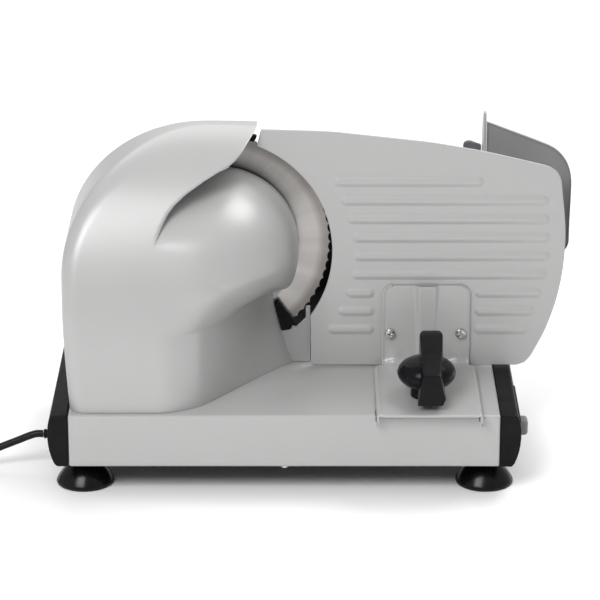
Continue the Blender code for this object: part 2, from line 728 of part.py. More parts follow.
def make_lock():
    bottom = FOOT_PLATE_Z + BRACKET_THICK + GAP
    place = (KNOB_X, KNOB_Y, bottom)
    knob = turned(
        "lock_knob",
        [
            (0.0, 0.0300),
            (0.0180, 0.0290),
            (KNOB_RADIUS - 0.0015, 0.0245),
            (KNOB_RADIUS, 0.0215),
            (KNOB_RADIUS - 0.0012, 0.0155),
            (0.0190, 0.0112),
            (0.0135, 0.0100),
            (0.0135, 0.0),
            (0.0, 0.0),
        ],
        place,
        "+Z",
        BLACK,
    )
    lever_side = [
        (KNOB_Y - 0.0380, 0.0810),
        (KNOB_Y - 0.0150, 0.0845),
        (KNOB_Y + 0.0150, 0.0900),
        (KNOB_Y + 0.0270, 0.1000),
        (KNOB_Y + 0.0320, 0.1230),
        (KNOB_Y + 0.0290, 0.1250),
        (KNOB_Y - 0.0360, 0.1090),
        (KNOB_Y - 0.0380, 0.1070),
    ]
    half = LEVER_WIDTH / 2
    lever = slab("knob_lever", lever_side, KNOB_X - half, KNOB_X + half, plane="YZ")
    bevel(lever, 0.0025, 2)
    fuse(knob, lever)
    cylinder("lock_bolt", (KNOB_X, KNOB_Y, 0.050), (KNOB_X, KNOB_Y, bottom - GAP), BOLT_RADIUS, ZINC)
    top = BASE_TOP - SHEET - GAP
    ring("lock_nut", BOLT_RADIUS + GAP, 0.0075, top - 0.0065, top, (KNOB_X, KNOB_Y, 0.0), "+Z", ZINC, 24)


# ---- food carriage ------------------------------------------------------------------
def make_rail():
    end = 0.1727
    cylinder("carriage_rail", (-end, RAIL_Y, RAIL_Z), (end, RAIL_Y, RAIL_Z), RAIL_RADIUS, STEEL)
    mounts = (("rail_mount_left", BASE_LEFT, -end - GAP), ("rail_mount_right", end + GAP, BASE_RIGHT))
    for name, low, high in mounts:
        mount = box(name, (low, BASE_BACK + GAP, 0.040), (high, 0.110, 0.064), BLACK)
        bevel(mount, 0.0020, 2)
    slider = box("carriage_slider", (0.105, 0.088, 0.039), (0.165, 0.112, 0.065), BLACK)
    fuse(slider, box("slider_arm", (0.105, 0.106, 0.062), (0.165, 0.112, TABLE_TOP - TABLE_THICK - GAP)))
    bore = RAIL_RADIUS + GAP
    cut(slider, cylinder("rail_bore", (0.090, RAIL_Y, RAIL_Z), (0.180, RAIL_Y, RAIL_Z), bore))


def make_carriage():
    right = FENCE_X - GAP
    under = TABLE_TOP - TABLE_THICK
    table = box("carriage_table", (TABLE_LEFT, TABLE_FRONT, under), (right, TABLE_BACK, TABLE_TOP), BLACK)
    wall_low = (TABLE_LEFT, TABLE_BACK - TABLE_THICK, under)
    beside_lug = ROD_X - 0.006 - GAP
    fuse(table, box("table_wall", wall_low, (beside_lug, TABLE_BACK, TABLE_WALL_TOP)))
    profile = [
        (TABLE_FRONT, under),
        (TABLE_BACK, under),
        (TABLE_BACK, 0.184),
        (0.0760, 0.222),
        (0.0495, 0.249),
        (0.0440, 0.279),
        (0.0290, 0.2915),
        (GUARD_Y, 0.2900),
        (GUARD_Y, 0.252),
        (TABLE_FRONT, 0.235),
    ]
    fence = slab("carriage_fence", profile, FENCE_X, FENCE_X + FENCE_THICK, PAINT, plane="YZ")
    lugs = (("lug_front", 0.0170, 0.0210), ("lug_rear", 0.1160, 0.1200))
    for name, low, high in lugs:
        lug_high = (FENCE_X + 0.001, high, ROD_Z + 0.006)
        fuse(fence, box(name, (ROD_X - 0.006, low, ROD_Z - 0.006), lug_high))
    cylinder("pusher_rod", (ROD_X, 0.0210 + GAP, ROD_Z), (ROD_X, 0.1160 - GAP, ROD_Z), ROD_RADIUS, STEEL)
    left = FENCE_X + FENCE_THICK + GAP
    guard_outline = [
        (left, 0.1635),
        (0.2450, 0.1635),
        (0.2476, 0.1660),
        (0.2505, 0.1712),
        (0.2512, 0.2000),
        (0.2518, 0.2300),
        (0.2507, 0.2375),
        (0.2478, 0.2467),
        (0.2414, 0.2540),
        (0.2334, 0.2603),
        (0.2193, 0.2667),
        (0.1974, 0.2749),
        (left, 0.2826),
    ]
    slab("hand_guard", guard_outline, GUARD_Y, GUARD_Y + 0.0025, PAINT)


def make_pusher():
    thick = 0.004
    corner = arc((0.1642, 0.2500), 0.0078, 180, 0, 6)
    outline = [(0.0980, 0.1000), (0.1718, 0.1000), (0.1718, 0.2500)] + corner[::-1][1:]
    outline += [(0.1564, 0.2200), (0.1050, 0.2200), (0.0980, 0.2130)]
    pusher = slab("food_pusher", outline, PUSHER_Y, PUSHER_Y + thick, CLEAR)
    boss_start = (ROD_X, PUSHER_Y + thick / 2, ROD_Z)
    fuse(pusher, cylinder("pusher_boss", boss_start, (ROD_X, 0.070, ROD_Z), 0.0070))
    cut(pusher, cylinder("rod_bore", (ROD_X, 0.030, ROD_Z), (ROD_X, 0.080, ROD_Z), ROD_RADIUS + GAP))
    turned(
        "pusher_handle",
        [
            (0.0, 0.034),
            (0.0110, 0.034),
            (0.0140, 0.031),
            (0.0140, 0.022),
            (0.0080, 0.012),
            (0.0080, GAP),
            (0.0, GAP),
        ],
        (0.128, PUSHER_Y + thick, 0.165),
        "+Y",
        BLACK,
        28,
    )


# ---- power cord ---------------------------------------------------------------------
def smooth_route(route, spacing):
    """Evenly spaced points along a Catmull-Rom curve through the route."""
    points = [Vector(point) for point in route]
    padded = [2 * points[0] - points[1]] + points + [2 * points[-1] - points[-2]]
    fine = []
    for first, second, third, fourth in zip(padded, padded[1:], padded[2:], padded[3:]):
        for step in range(40):
            share = step / 40
            fine.append(
                0.5 * (
                    2 * second
                    + (third - first) * share
                    + (2 * first - 5 * second + 4 * third - fourth) * share ** 2
                    + (3 * second - first - 3 * third + fourth) * share ** 3
                )
            )
    fine.append(points[-1])
    total = sum((after - before).length for before, after in zip(fine, fine[1:]))
    count = max(2, round(total / spacing))
    chosen, travelled, index = [fine[0]], 0.0, 1
    for before, after in zip(fine, fine[1:]):
        travelled += (after - before).length
        if travelled >= total * index / count and index < count:
            chosen.append(after)
            index += 1
    chosen.append(fine[-1])
    return chosen


def cord_tube(name, route):
    curve = bpy.data.curves.new(name, "CURVE")
    curve.dimensions = "3D"
    curve.bevel_depth = CORD_DIAMETER / 2
    curve.bevel_resolution = 2
    curve.use_fill_caps = True
    curve.materials.append(BLACK)
    points = smooth_route(route, 2.4 * CORD_DIAMETER)
    spline = curve.splines.new("POLY")
    spline.points.add(len(points) - 1)
    for knot, point in zip(spline.points, points):
        knot.co = (*point, 1.0)
    made = bpy.data.objects.new(name, curve)
    made.parent = ROOT
    PARTS.objects.link(made)


RELIEF_START = -0.1870
RELIEF_END = -0.2085
CORD_REST = CORD_DIAMETER / 2 + 0.0002      # height of the cord's middle where it lies
COIL_X = -0.3400
COIL_OUTER = COIL_MIDDLE + CORD_DIAMETER    # centreline radius of the outer turn on the table
COIL_Y = CORD_EXIT_Y + COIL_OUTER           # the cord runs straight into that turn
COIL_EDGE = COIL_OUTER + CORD_DIAMETER / 2 + 0.0002
COIL_HEIGHT = 1.87 * CORD_DIAMETER + 0.0004
UPPER_TURN = COIL_MIDDLE + CORD_DIAMETER / 2
CORD_ROUTE = (
    (RELIEF_END - 2 * GAP, CORD_EXIT_Y, CORD_EXIT_Z),
    (-0.2150, CORD_EXIT_Y, CORD_EXIT_Z - 0.0001),
    (-0.2225, CORD_EXIT_Y - 0.0001, 0.0289),
    (-0.2300, CORD_EXIT_Y - 0.0003, 0.0258),
    (-0.2380, CORD_EXIT_Y - 0.0007, 0.0227),
    (-0.2466, CORD_EXIT_Y - 0.0012, 0.0193),
    (-0.2550, CORD_EXIT_Y - 0.0018, 0.0155),
    (-0.2640, CORD_EXIT_Y - 0.0023, 0.0112),
    (-0.2735, CORD_EXIT_Y - 0.0026, 0.0073),
    (-0.2830, CORD_EXIT_Y - 0.0025, 0.0048),
    (-0.2930, CORD_EXIT_Y - 0.0018, 0.0037),
    (-0.3030, CORD_EXIT_Y - 0.0008, CORD_REST),
    (COIL_X + 0.0290, CORD_EXIT_Y, CORD_REST),
    (COIL_X + 0.0240, CORD_EXIT_Y, CORD_REST),
)
PLUG_Z = 0.0078
PLUG_START = (-0.3660, 0.0560)
TAIL_ROUTE = (
    (COIL_X - UPPER_TURN, COIL_Y + 0.0290, 0.0094),
    (COIL_X - UPPER_TURN + 0.0003, COIL_Y + 0.0370, 0.0085),
    (COIL_X - UPPER_TURN + 0.0017, COIL_Y + 0.0450, 0.0073),
    (COIL_X - UPPER_TURN + 0.0048, COIL_Y + 0.0540, 0.0065),
    (COIL_X - UPPER_TURN + 0.0092, COIL_Y + 0.0630, 0.0066),
    (COIL_X - UPPER_TURN + 0.0135, COIL_Y + 0.0710, 0.0072),
    (PLUG_START[0], PLUG_START[1] - 0.0120, PLUG_Z),
    (PLUG_START[0], PLUG_START[1] - 0.0060, PLUG_Z),
    (PLUG_START[0], PLUG_START[1] - 2 * GAP, PLUG_Z),
)


def make_strain_relief():
    turned(
        "strain_relief",
        [
            (0.0, RELIEF_START),
            (0.0058, RELIEF_START),
            (0.0058, -0.1900),
            (0.0056, -0.2015),
            (0.0042, RELIEF_END),
            (0.0, RELIEF_END),
        ],
        (0.0, CORD_EXIT_Y, CORD_EXIT_Z),
        "+X",
        BLACK,
        24,
    )


def make_coil():
    inner = COIL_MIDDLE - 1.5 * CORD_DIAMETER - 0.0002
    ring("cord_coil", inner, COIL_EDGE, 0.0, COIL_HEIGHT, (COIL_X, COIL_Y, 0.0), "+Z", BLACK)


def make_plug():
    """A plain flat plug with two round pins, lying on the table and pointing away."""
    across, start = PLUG_START
    neck, shoulder, face = start + 0.010, start + 0.016, start + 0.036
    outline = [
        (across - 0.0050, start),
        (across + 0.0050, start),
        (across + 0.0065, neck),
        (across + 0.0150, shoulder),
        (across + 0.0170, face),
        (across - 0.0170, face),
        (across - 0.0150, shoulder),
        (across - 0.0065, neck),
    ]
    body = slab("plug", outline, PLUG_Z - 0.0070, PLUG_Z + 0.0070, BLACK, plane="XY")
    bevel(body, 0.0018, 2)
    for side, offset in (("left", -0.0093), ("right", 0.0093)):
        x = across + offset
        cylinder(f"plug_pin_{side}", (x, face + GAP, PLUG_Z), (x, face + 0.0185, PLUG_Z), 0.0022, ZINC, 16)


make_base()
make_end_caps()
make_switch()
make_feet()
make_housing()
make_gearbox_plate()
make_blade_guard()
make_blade()
make_drive()
make_motor()
make_guide_plate()
make_bracket()
make_lock()
make_rail()
make_carriage()
make_pusher()
make_strain_relief()
cord_tube("power_cord", CORD_ROUTE)
make_coil()
cord_tube("cord_tail", TAIL_ROUTE)
make_plug()
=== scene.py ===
"""The meat slicer's look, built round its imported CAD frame.

Shapes are written in millimetres in the design's own frame: X = 0 is the middle of the
base, Y = 0 the plane of the blade with the discharge side towards -Y, and Z = 0 the floor.
`to_frame` turns such a point into the row frame in metres.
"""

import json
import math

import bmesh
import bpy
import numpy as np
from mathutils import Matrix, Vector


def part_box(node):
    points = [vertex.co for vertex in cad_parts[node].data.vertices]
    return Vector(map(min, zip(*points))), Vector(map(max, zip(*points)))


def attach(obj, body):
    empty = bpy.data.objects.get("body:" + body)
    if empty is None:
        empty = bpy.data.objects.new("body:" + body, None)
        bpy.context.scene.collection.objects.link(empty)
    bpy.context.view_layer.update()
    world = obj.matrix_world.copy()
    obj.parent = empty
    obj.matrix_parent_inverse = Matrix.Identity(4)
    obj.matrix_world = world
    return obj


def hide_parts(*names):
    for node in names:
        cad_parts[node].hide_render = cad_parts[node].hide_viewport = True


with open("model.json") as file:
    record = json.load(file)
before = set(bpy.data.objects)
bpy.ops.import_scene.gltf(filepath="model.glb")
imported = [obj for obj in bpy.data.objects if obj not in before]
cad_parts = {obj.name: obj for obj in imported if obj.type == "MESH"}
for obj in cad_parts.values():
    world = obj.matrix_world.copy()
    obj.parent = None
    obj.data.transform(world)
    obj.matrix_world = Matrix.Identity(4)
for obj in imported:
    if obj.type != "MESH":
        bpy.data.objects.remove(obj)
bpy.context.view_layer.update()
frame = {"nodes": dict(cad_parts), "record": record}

# ---- frame and dimensions, in millimetres ---------------------------------------------
BASE_LEFT, BASE_RIGHT = -183.0, 182.5
BASE_FRONT, BASE_BACK = -133.0, 80.0
BASE_BOTTOM = 24.3
BLADE_X, BLADE_Z = -58.0, 181.0
BLADE_RADIUS = 97.5
TEETH = 72
RIM_RADIUS = 70.0                 # the dome's rim at the blade
RIM_DEPTH = 6.3                   # distance of the housing's rear rim from the blade plane
GUIDE_FRONT, GUIDE_BACK = -18.6, -16.0

base_low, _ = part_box("base_shell")
ORIGIN = Vector((base_low.x - BASE_LEFT / 1000, base_low.y - BASE_FRONT / 1000, 0.0))


def to_frame(point):
    return Vector((point[0] / 1000, point[1] / 1000, point[2] / 1000)) + ORIGIN


def add_object(name, data):
    """A new object in the scene."""
    made = bpy.data.objects.new(name, data)
    bpy.context.scene.collection.objects.link(made)
    return made


# ---- camera ----------------------------------------------------------------------------
CAMERA_PLACE = (13.1, -2475.7, 1027.8)
CAMERA_TILT = 20.0                # degrees below the horizon
camera_data = bpy.data.cameras.new("camera")
camera_data.lens = 180.0
camera_data.sensor_width = 36.0
camera_data.clip_end = 50.0
camera = add_object("camera", camera_data)
camera.location = to_frame(CAMERA_PLACE)
camera.rotation_euler = (math.radians(90.0 - CAMERA_TILT), 0.0, 0.0)
bpy.context.scene.camera = camera


# ---- materials -------------------------------------------------------------------------
def new_material(name, colour, roughness, metallic=0.0, **sockets):
    made = bpy.data.materials.new(name)
    made.use_nodes = True
    shader = made.node_tree.nodes["Principled BSDF"]
    shader.inputs["Base Color"].default_value = (*colour, 1.0)
    shader.inputs["Roughness"].default_value = roughness
    shader.inputs["Metallic"].default_value = metallic
    for label, value in sockets.items():
        shader.inputs[label.replace("_", " ")].default_value = value
    return made, made.node_tree, shader


def noise(tree, scale, detail=3.0, source=None, stretch=None):
    """A noise texture on the object's own coordinates, stretched along the axes if asked."""
    if source is None:
        source = tree.nodes.new("ShaderNodeTexCoord").outputs["Object"]
    if stretch is not None:
        mapping = tree.nodes.new("ShaderNodeMapping")
        mapping.inputs["Scale"].default_value = stretch
        tree.links.new(source, mapping.inputs["Vector"])
        source = mapping.outputs["Vector"]
    made = tree.nodes.new("ShaderNodeTexNoise")
    made.inputs["Scale"].default_value = scale
    made.inputs["Detail"].default_value = detail
    tree.links.new(source, made.inputs["Vector"])
    return made.outputs["Fac"]


def spread(tree, value, low, high, start=0.3, end=0.7):
    """Maps a value between start and end to a range."""
    made = tree.nodes.new("ShaderNodeMapRange")
    made.inputs["From Min"].default_value = start
    made.inputs["From Max"].default_value = end
    made.inputs["To Min"].default_value = low
    made.inputs["To Max"].default_value = high
    tree.links.new(value, made.inputs["Value"])
    return made.outputs["Result"]


def tint(tree, value, dark, light):
    """Mixes two colours by a value."""
    made = tree.nodes.new("ShaderNodeMix")
    made.data_type = "RGBA"
    made.inputs["A"].default_value = (*dark, 1.0)
    made.inputs["B"].default_value = (*light, 1.0)
    tree.links.new(value, made.inputs["Factor"])
    return made.outputs["Result"]


def shaded(tree, value, base, tone):
    """Multiplies a colour by a tone, by a value."""
    made = tree.nodes.new("ShaderNodeMix")
    made.data_type = "RGBA"
    made.blend_type = "MULTIPLY"
    made.inputs["B"].default_value = (*tone, 1.0)
    tree.links.new(value, made.inputs["Factor"])
    tree.links.new(base, made.inputs["A"])
    return made.outputs["Result"]


def bump(tree, shader, value, strength, distance):
    made = tree.nodes.new("ShaderNodeBump")
    made.inputs["Strength"].default_value = strength
    made.inputs["Distance"].default_value = distance
    tree.links.new(value, made.inputs["Height"])
    tree.links.new(made.outputs["Normal"], shader.inputs["Normal"])


def scaled(colour, factor):
    return tuple(channel * factor for channel in colour)


def painted(name, colour, roughness=0.38, metallic=0.1):
    """Silver-grey paint: fine flake in the colour, a trace of orange peel, faint handling marks."""
    made, tree, shader = new_material(
        name, colour, roughness, metallic, Coat_Weight=0.1, Coat_Roughness=0.42
    )
    flake = spread(tree, noise(tree, 2600.0, 2.0), 0.0, 1.0, 0.25, 0.75)
    speckled = tint(tree, flake, scaled(colour, 0.955), scaled(colour, 1.035))
    tree.links.new(speckled, shader.inputs["Base Color"])
    sheen = spread(tree, noise(tree, 22.0, 5.0), roughness - 0.03, roughness + 0.04)
    tree.links.new(sheen, shader.inputs["Roughness"])
    bump(tree, shader, noise(tree, 520.0, 2.0), 0.05, 0.0002)
    return made


def moulded(name, colour, roughness, grain=1500.0, depth=0.25, shine=0.2):
    """Moulded plastic or rubber with a fine grain and slightly uneven sheen."""
    made, tree, shader = new_material(name, colour, roughness, Specular_IOR_Level=shine)
    tone = spread(tree, noise(tree, 60.0, 5.0), 0.0, 1.0)
    mottled = tint(tree, tone, scaled(colour, 0.82), scaled(colour, 1.25))
    tree.links.new(mottled, shader.inputs["Base Color"])
    sheen = spread(tree, noise(tree, 35.0, 4.0), roughness - 0.05, roughness + 0.07)
    tree.links.new(sheen, shader.inputs["Roughness"])
    bump(tree, shader, noise(tree, grain, 3.0), depth, 0.0002)
    return made


def brushed(name, colour, roughness, stretch=(1.0, 1.0, 60.0)):
    """Metal with straight brush lines."""
    made, tree, shader = new_material(name, colour, roughness, 1.0)
    lines = noise(tree, 180.0, 4.0, stretch=stretch)
    tree.links.new(tint(tree, spread(tree, lines, 0.0, 1.0), scaled(colour, 0.86), scaled(colour, 1.1)),
                   shader.inputs["Base Color"])
    tree.links.new(spread(tree, lines, roughness - 0.06, roughness + 0.09), shader.inputs["Roughness"])
    bump(tree, shader, lines, 0.12, 0.0001)
    return made


def vector_math(tree, operation, source, second=None):
    made = tree.nodes.new("ShaderNodeVectorMath")
    made.operation = operation
    if second is not None:
        made.inputs[1].default_value = second
    tree.links.new(source, made.inputs[0])
    return made.outputs


def radial_parts(tree, centre):
    """Distance and direction from an axis along Y, from object coordinates."""
    coordinates = tree.nodes.new("ShaderNodeTexCoord").outputs["Object"]
    moved = vector_math(tree, "SUBTRACT", coordinates, centre)["Vector"]
    flat = vector_math(tree, "MULTIPLY", moved, (1.0, 0.0, 1.0))["Vector"]
    return vector_math(tree, "LENGTH", flat)["Value"], vector_math(tree, "NORMALIZE", flat)["Vector"]


def turned_steel(name, colour, roughness, centre, bevel_start):
    """Blade steel: grinding lines round the axis, a broad painted sheen, darker at the edge, and painted
    shade under the hood.
    """
    made, tree, shader = new_material(name, colour, roughness, 1.0)
    radius, direction = radial_parts(tree, centre)
    rings = tree.nodes.new("ShaderNodeTexNoise")
    rings.noise_dimensions = "1D"
    rings.inputs["Scale"].default_value = 2600.0
    rings.inputs["Detail"].default_value = 4.0
    tree.links.new(radius, rings.inputs["W"])
    # Painted reflection: a slow noise round the axis lightens and darkens the colour in broad sectors,
    # standing for the sheen of the turned steel.
    painted_sheen_sweep = noise(tree, 2.6, 3.0, source=direction)
    stains = noise(tree, 55.0, 6.0)
    parts = tree.nodes.new("ShaderNodeSeparateXYZ")
    tree.links.new(direction, parts.inputs["Vector"])
    sheen = spread(tree, painted_sheen_sweep, 0.0, 1.0, 0.35, 0.65)
    steel = tint(tree, sheen, scaled(colour, 0.86), scaled(colour, 1.12))
    # Painted shade: the colour is darkened towards the top of the blade, where the hood shades it.
    painted_hood_shade = spread(tree, parts.outputs["Z"], 0.0, 1.0, 0.35, 0.98)
    steel = shaded(tree, painted_hood_shade, steel, (0.52, 0.52, 0.52))
    steel = shaded(tree, spread(tree, rings.outputs["Fac"], 0.0, 0.35), steel, (0.72, 0.71, 0.70))
    ground_edge = spread(tree, radius, 0.0, 0.75, bevel_start, bevel_start + 0.006)
    steel = shaded(tree, ground_edge, steel, (0.55, 0.53, 0.51))
    tree.links.new(steel, shader.inputs["Base Color"])
    tree.links.new(spread(tree, stains, roughness - 0.01, roughness + 0.04), shader.inputs["Roughness"])
    bump(tree, shader, rings.outputs["Fac"], 0.1, 0.0001)
    return made


PAINT = painted("silver_paint", (0.42, 0.42, 0.417), 0.35)
BLACK = moulded("black_plastic", (0.011, 0.011, 0.012), 0.45, shine=0.05)
GLOSS_BLACK = moulded("smooth_black_plastic", (0.006, 0.006, 0.007), 0.24, 900.0, 0.12, 0.12)
RUBBER = moulded("black_rubber", (0.004, 0.004, 0.005), 0.22, 1100.0, 0.12, 0.25)
SHEATH = moulded("cord_sheath", (0.009, 0.009, 0.010), 0.34, 700.0, 0.15, 0.15)
GREY_PLASTIC = moulded("grey_plastic", (0.20, 0.205, 0.21), 0.36, 900.0, 0.12)
NYLON = moulded("white_nylon", (0.72, 0.70, 0.63), 0.45, shine=0.5)
STEEL = brushed("brushed_steel", (0.56, 0.545, 0.52), 0.30)
ZINC = brushed("zinc_plated", (0.60, 0.59, 0.56), 0.22, (1.0, 1.0, 1.0))
IRON = brushed("laminated_iron", (0.18, 0.18, 0.19), 0.42, (60.0, 1.0, 1.0))
COPPER = brushed("copper_winding", (0.62, 0.25, 0.11), 0.38, (1.0, 60.0, 1.0))
BRONZE = brushed("sintered_bronze", (0.46, 0.33, 0.17), 0.46, (1.0, 1.0, 1.0))
# Painted shade: a darker copy of the silver paint, standing for the shade the hand guard sits in.
GUARD_PAINTED_SHADE = painted("guard_paint_painted_shade", (0.25, 0.25, 0.252), 0.42)
BEVEL_START = 86.2                # radius where the blade's ground edge begins to darken
BLADE_STEEL = turned_steel(
    "blade_steel", (0.42, 0.405, 0.392), 0.28, to_frame((BLADE_X, 0.0, BLADE_Z)), BEVEL_START / 1000
)


def clear_plastic():
    made, tree, shader = new_material(
        "smoky_clear_plastic", (0.15, 0.145, 0.165), 0.2, Transmission_Weight=0.15, IOR=1.35
    )
    haze = noise(tree, 45.0, 4.0)
    tree.links.new(tint(tree, spread(tree, haze, 0.0, 1.0), (0.125, 0.12, 0.14), (0.18, 0.172, 0.195)),
                   shader.inputs["Base Color"])
    tree.links.new(spread(tree, haze, 0.08, 0.2), shader.inputs["Roughness"])
    return made


CLEAR = clear_plastic()
SLOTS = {
    "silver_paint": PAINT, "black_plastic": BLACK, "black_rubber": RUBBER, "brushed_steel": STEEL,
    "zinc_plated": ZINC, "copper_winding": COPPER, "laminated_iron": IRON, "white_nylon": NYLON,
    "sintered_bronze": BRONZE, "smoky_clear_plastic": CLEAR, "grey_plastic": GREY_PLASTIC,
}
for part in frame["record"]["subparts"]:
    cad = frame["nodes"][part["node"]]
    cad.data.materials.clear()
    cad.data.materials.append(SLOTS[part["material_slot"]])


# ---- mesh helpers ----------------------------------------------------------------------
def smooth_step(value):
    value = min(1.0, max(0.0, value))
    return value * value * (3 - 2 * value)


class Shape:
    """Vertices in design millimetres and faces, gathered from several surfaces."""

    def __init__(self):
        self.verts = []
        self.faces = []

    def take(self, verts, faces):
        start = len(self.verts)
        self.verts += [tuple(float(value) for value in vert) for vert in verts]
        self.faces += [tuple(start + index for index in face) for face in faces]
        return self

    def grid(self, rows, close_columns=False):
        """A surface through rows of points. Each row has as many points as the others."""
        count = len(rows[0])
        verts = [point for row in rows for point in row]
        faces = []
        for row in range(len(rows) - 1):
            here, after = row * count, (row + 1) * count
            for column in range(count if close_columns else count - 1):
                beside = (column + 1) % count
                faces.append((here + column, here + beside, after + beside, after + column))
        return self.take(verts, faces)

    def tube(self, rings, fill_first=True):
        """A surface through closed rings, with a flat face over the last and the first."""
        start, count = len(self.verts), len(rings[0])
        self.grid(rings, close_columns=True)
        if fill_first:
            self.faces.append(tuple(range(start, start + count)))
        self.faces.append(tuple(range(len(self.verts) - count, len(self.verts))))
        return self

    def slab(self, outline, low, high, plane="XZ"):
        """An outline given thickness along the third axis."""
        place = {"XZ": (0, 2, 1), "YZ": (1, 2, 0), "XY": (0, 1, 2)}[plane]
        count = len(outline)
        verts = []
        for level in (low, high):
            for across, up in outline:
                point = [0.0, 0.0, 0.0]
                point[place[0]], point[place[1]], point[place[2]] = across, up, level
                verts.append(point)
        faces = [tuple(range(count)), tuple(range(2 * count - 1, count - 1, -1))]
        for index in range(count):
            after = (index + 1) % count
            faces.append((index, index + count, after + count, after))
        return self.take(verts, faces)

    def box(self, low, high):
        return self.slab([(low[0], low[1]), (high[0], low[1]), (high[0], high[1]), (low[0], high[1])],
                         low[2], high[2], "XY")

    def lathe(self, profile, centre, axis="Z", sides=96):
        """A turned surface. The profile lists (radius, height along the axis)."""
        rows = []
        for radius, height in profile:
            row = []
            for side in range(sides):
                angle = 2 * math.pi * side / sides
                across, up = radius * math.cos(angle), radius * math.sin(angle)
                offset = {
                    "Z": (across, up, height), "Y": (across, height, up), "X": (height, across, up)
                }[axis]
                row.append(tuple(a + b for a, b in zip(centre, offset)))
            rows.append(row)
        return self.grid(rows, close_columns=True)


def make_piece(name, shape, body, slot, replaced=(), sharp=35.0, weld=0.005, look=None):
    """Turns a shape into a piece that rides on a body, in its slot's own material unless told otherwise.

    `sharp` is the crease angle in degrees and `weld` the distance at which vertices are joined.
    """
    work = bmesh.new()
    made = [work.verts.new(to_frame(vert)) for vert in shape.verts]
    for face in shape.faces:
        if len(set(face)) > 2:
            work.faces.new([made[index] for index in face])
    bmesh.ops.remove_doubles(work, verts=work.verts, dist=weld / 1000)
    bmesh.ops.dissolve_degenerate(work, edges=work.edges, dist=0.000001)
    bmesh.ops.recalc_face_normals(work, faces=work.faces)
    mesh = bpy.data.meshes.new(name)
    work.to_mesh(mesh)
    work.free()
    mesh.materials.append(look or SLOTS[slot])
    mesh.shade_smooth()
    mesh.set_sharp_from_angle(angle=math.radians(sharp))
    piece = add_object(name, mesh)
    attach(piece, body)
    if replaced:
        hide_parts(*replaced)
    return piece


def thicken(piece):
    """Gives a sheet its thickness, behind the surface that was drawn."""
    wall = piece.modifiers.new("thickness", "SOLIDIFY")
    wall.thickness = 0.0012
    wall.offset = -1.0


def soften(piece, width, segments=3, angle=30.0):
    """Rounds a piece's edges and evens out its shading."""
    rounding = piece.modifiers.new("rounding", "BEVEL")
    rounding.width = width / 1000
    rounding.segments = segments
    rounding.limit_method = "ANGLE"
    rounding.angle_limit = math.radians(angle)
    rounding.use_clamp_overlap = True
    normals = piece.modifiers.new("even_normals", "WEIGHTED_NORMAL")
    normals.keep_sharp = False


def arc(centre, radius, start, end, steps, squash=1.0):
    """Points of an arc between two angles in degrees."""
    points = []
    for step in range(steps + 1):
        angle = math.radians(start + (end - start) * step / steps)
        across, up = radius * math.cos(angle), radius * squash * math.sin(angle)
        points.append((centre[0] + across, centre[1] + up))
    return points


def rounded(outline, radius, steps=6, only=None):
    """The outline with its corners, or the listed ones, turned into arcs."""
    result = []
    count = len(outline)
    for index, corner in enumerate(outline):
        if only is not None and index not in only:
            result.append(tuple(corner))
            continue
        point = Vector(corner)
        before = Vector(outline[index - 1]) - point
        after = Vector(outline[(index + 1) % count]) - point
        reach = min(radius, before.length * 0.49, after.length * 0.49)
        start = point + before.normalized() * reach
        end = point + after.normalized() * reach
        for step in range(steps + 1):
            share = step / steps
            blend = start * (1 - share) ** 2 + point * 2 * share * (1 - share) + end * share ** 2
            result.append(tuple(blend))
    return result


# ---- housing ---------------------------------------------------------------------------
LEAN_START, LEAN_HEIGHT, FULL_DEPTH = 100.0, 196.6, 127.0
HOUSING_FOOT = 71.3               # height of the housing's lower edge
CREASE_Z = 138.0                  # where the dome's underside meets the lower wall
CREASE_START = 222.0              # degrees about the blade's axis
DOME_SPAN, DOME_POWER = 92.0, 2.15
EVENING_PASSES = 8
WALL_START, FOOT_AT_PLATE = -60.0, 4.0
DOME_LEFT = -104.0                # the body's flat front begins here
# Where the lower wall meets the back plate.
WALL_END = ((-10.9, 132.5), (-9.9, 127.5), (-3.4, 100.8), (1.6, 84.0), (6.5, HOUSING_FOOT))
# Angles in degrees about the blade's axis: the hood's tip, where its edge has faded, the body's end.
HOOD_START, HOOD_FADE, BODY_END = 72.75, 150.0, 313.0
RIM_MEETS_HOOD = 119.0
RIM_BLEND = 12.0                  # degrees over which the dome's reach grows to its rim
EDGE_ROUND, HOOD_ROUND = 13.0, 2.2
# The hood's edge as (angle, distance from the blade's axis).
HOOD_EDGE = ((72.6, 115.5), (75.3, 106.5), (77.2, 99.5), (81.2, 91.1), (88.6, 84.0), (97.0, 78.6),
             (109.5, 73.2), (119.0, 70.0), (126.0, 67.4), (134.4, 63.6), (142.0, 60.6), (150.0, 58.5))
# Depth of the lower wall's foot as (across, depth).
FOOTPRINT = ((-110.0, 127.0), (-104.0, 126.8), (-97.0, 125.5), (-88.0, 121.8), (-80.0, 117.3),
             (-72.0, 111.5), (-62.0, 99.5), (-52.0, 85.0), (-42.0, 70.0), (-32.0, 55.0),
             (-22.0, 40.3), (-13.0, 27.5), (-4.0, 15.2), (FOOT_AT_PLATE, RIM_DEPTH), (30.0, RIM_DEPTH))
SILHOUETTE_LEFT = [(-182.4, HOUSING_FOOT), (-183.6, 90.0), (-185.4, 118.0), (-187.0, 150.0)]


def silhouette():
    """The housing's outer edge from its foot up the left side to the hood's tip."""
    middle, left, shoulder, top = -68.0, -187.5, 186.0, 292.0
    across = middle - left
    curve = arc((middle, shoulder), across, 180, 90, 40, (top - shoulder) / across)
    return SILHOUETTE_LEFT + curve + [(-60.0, top), (-45.0, 291.9), (-33.0, 291.6), (-23.5, 291.2)]


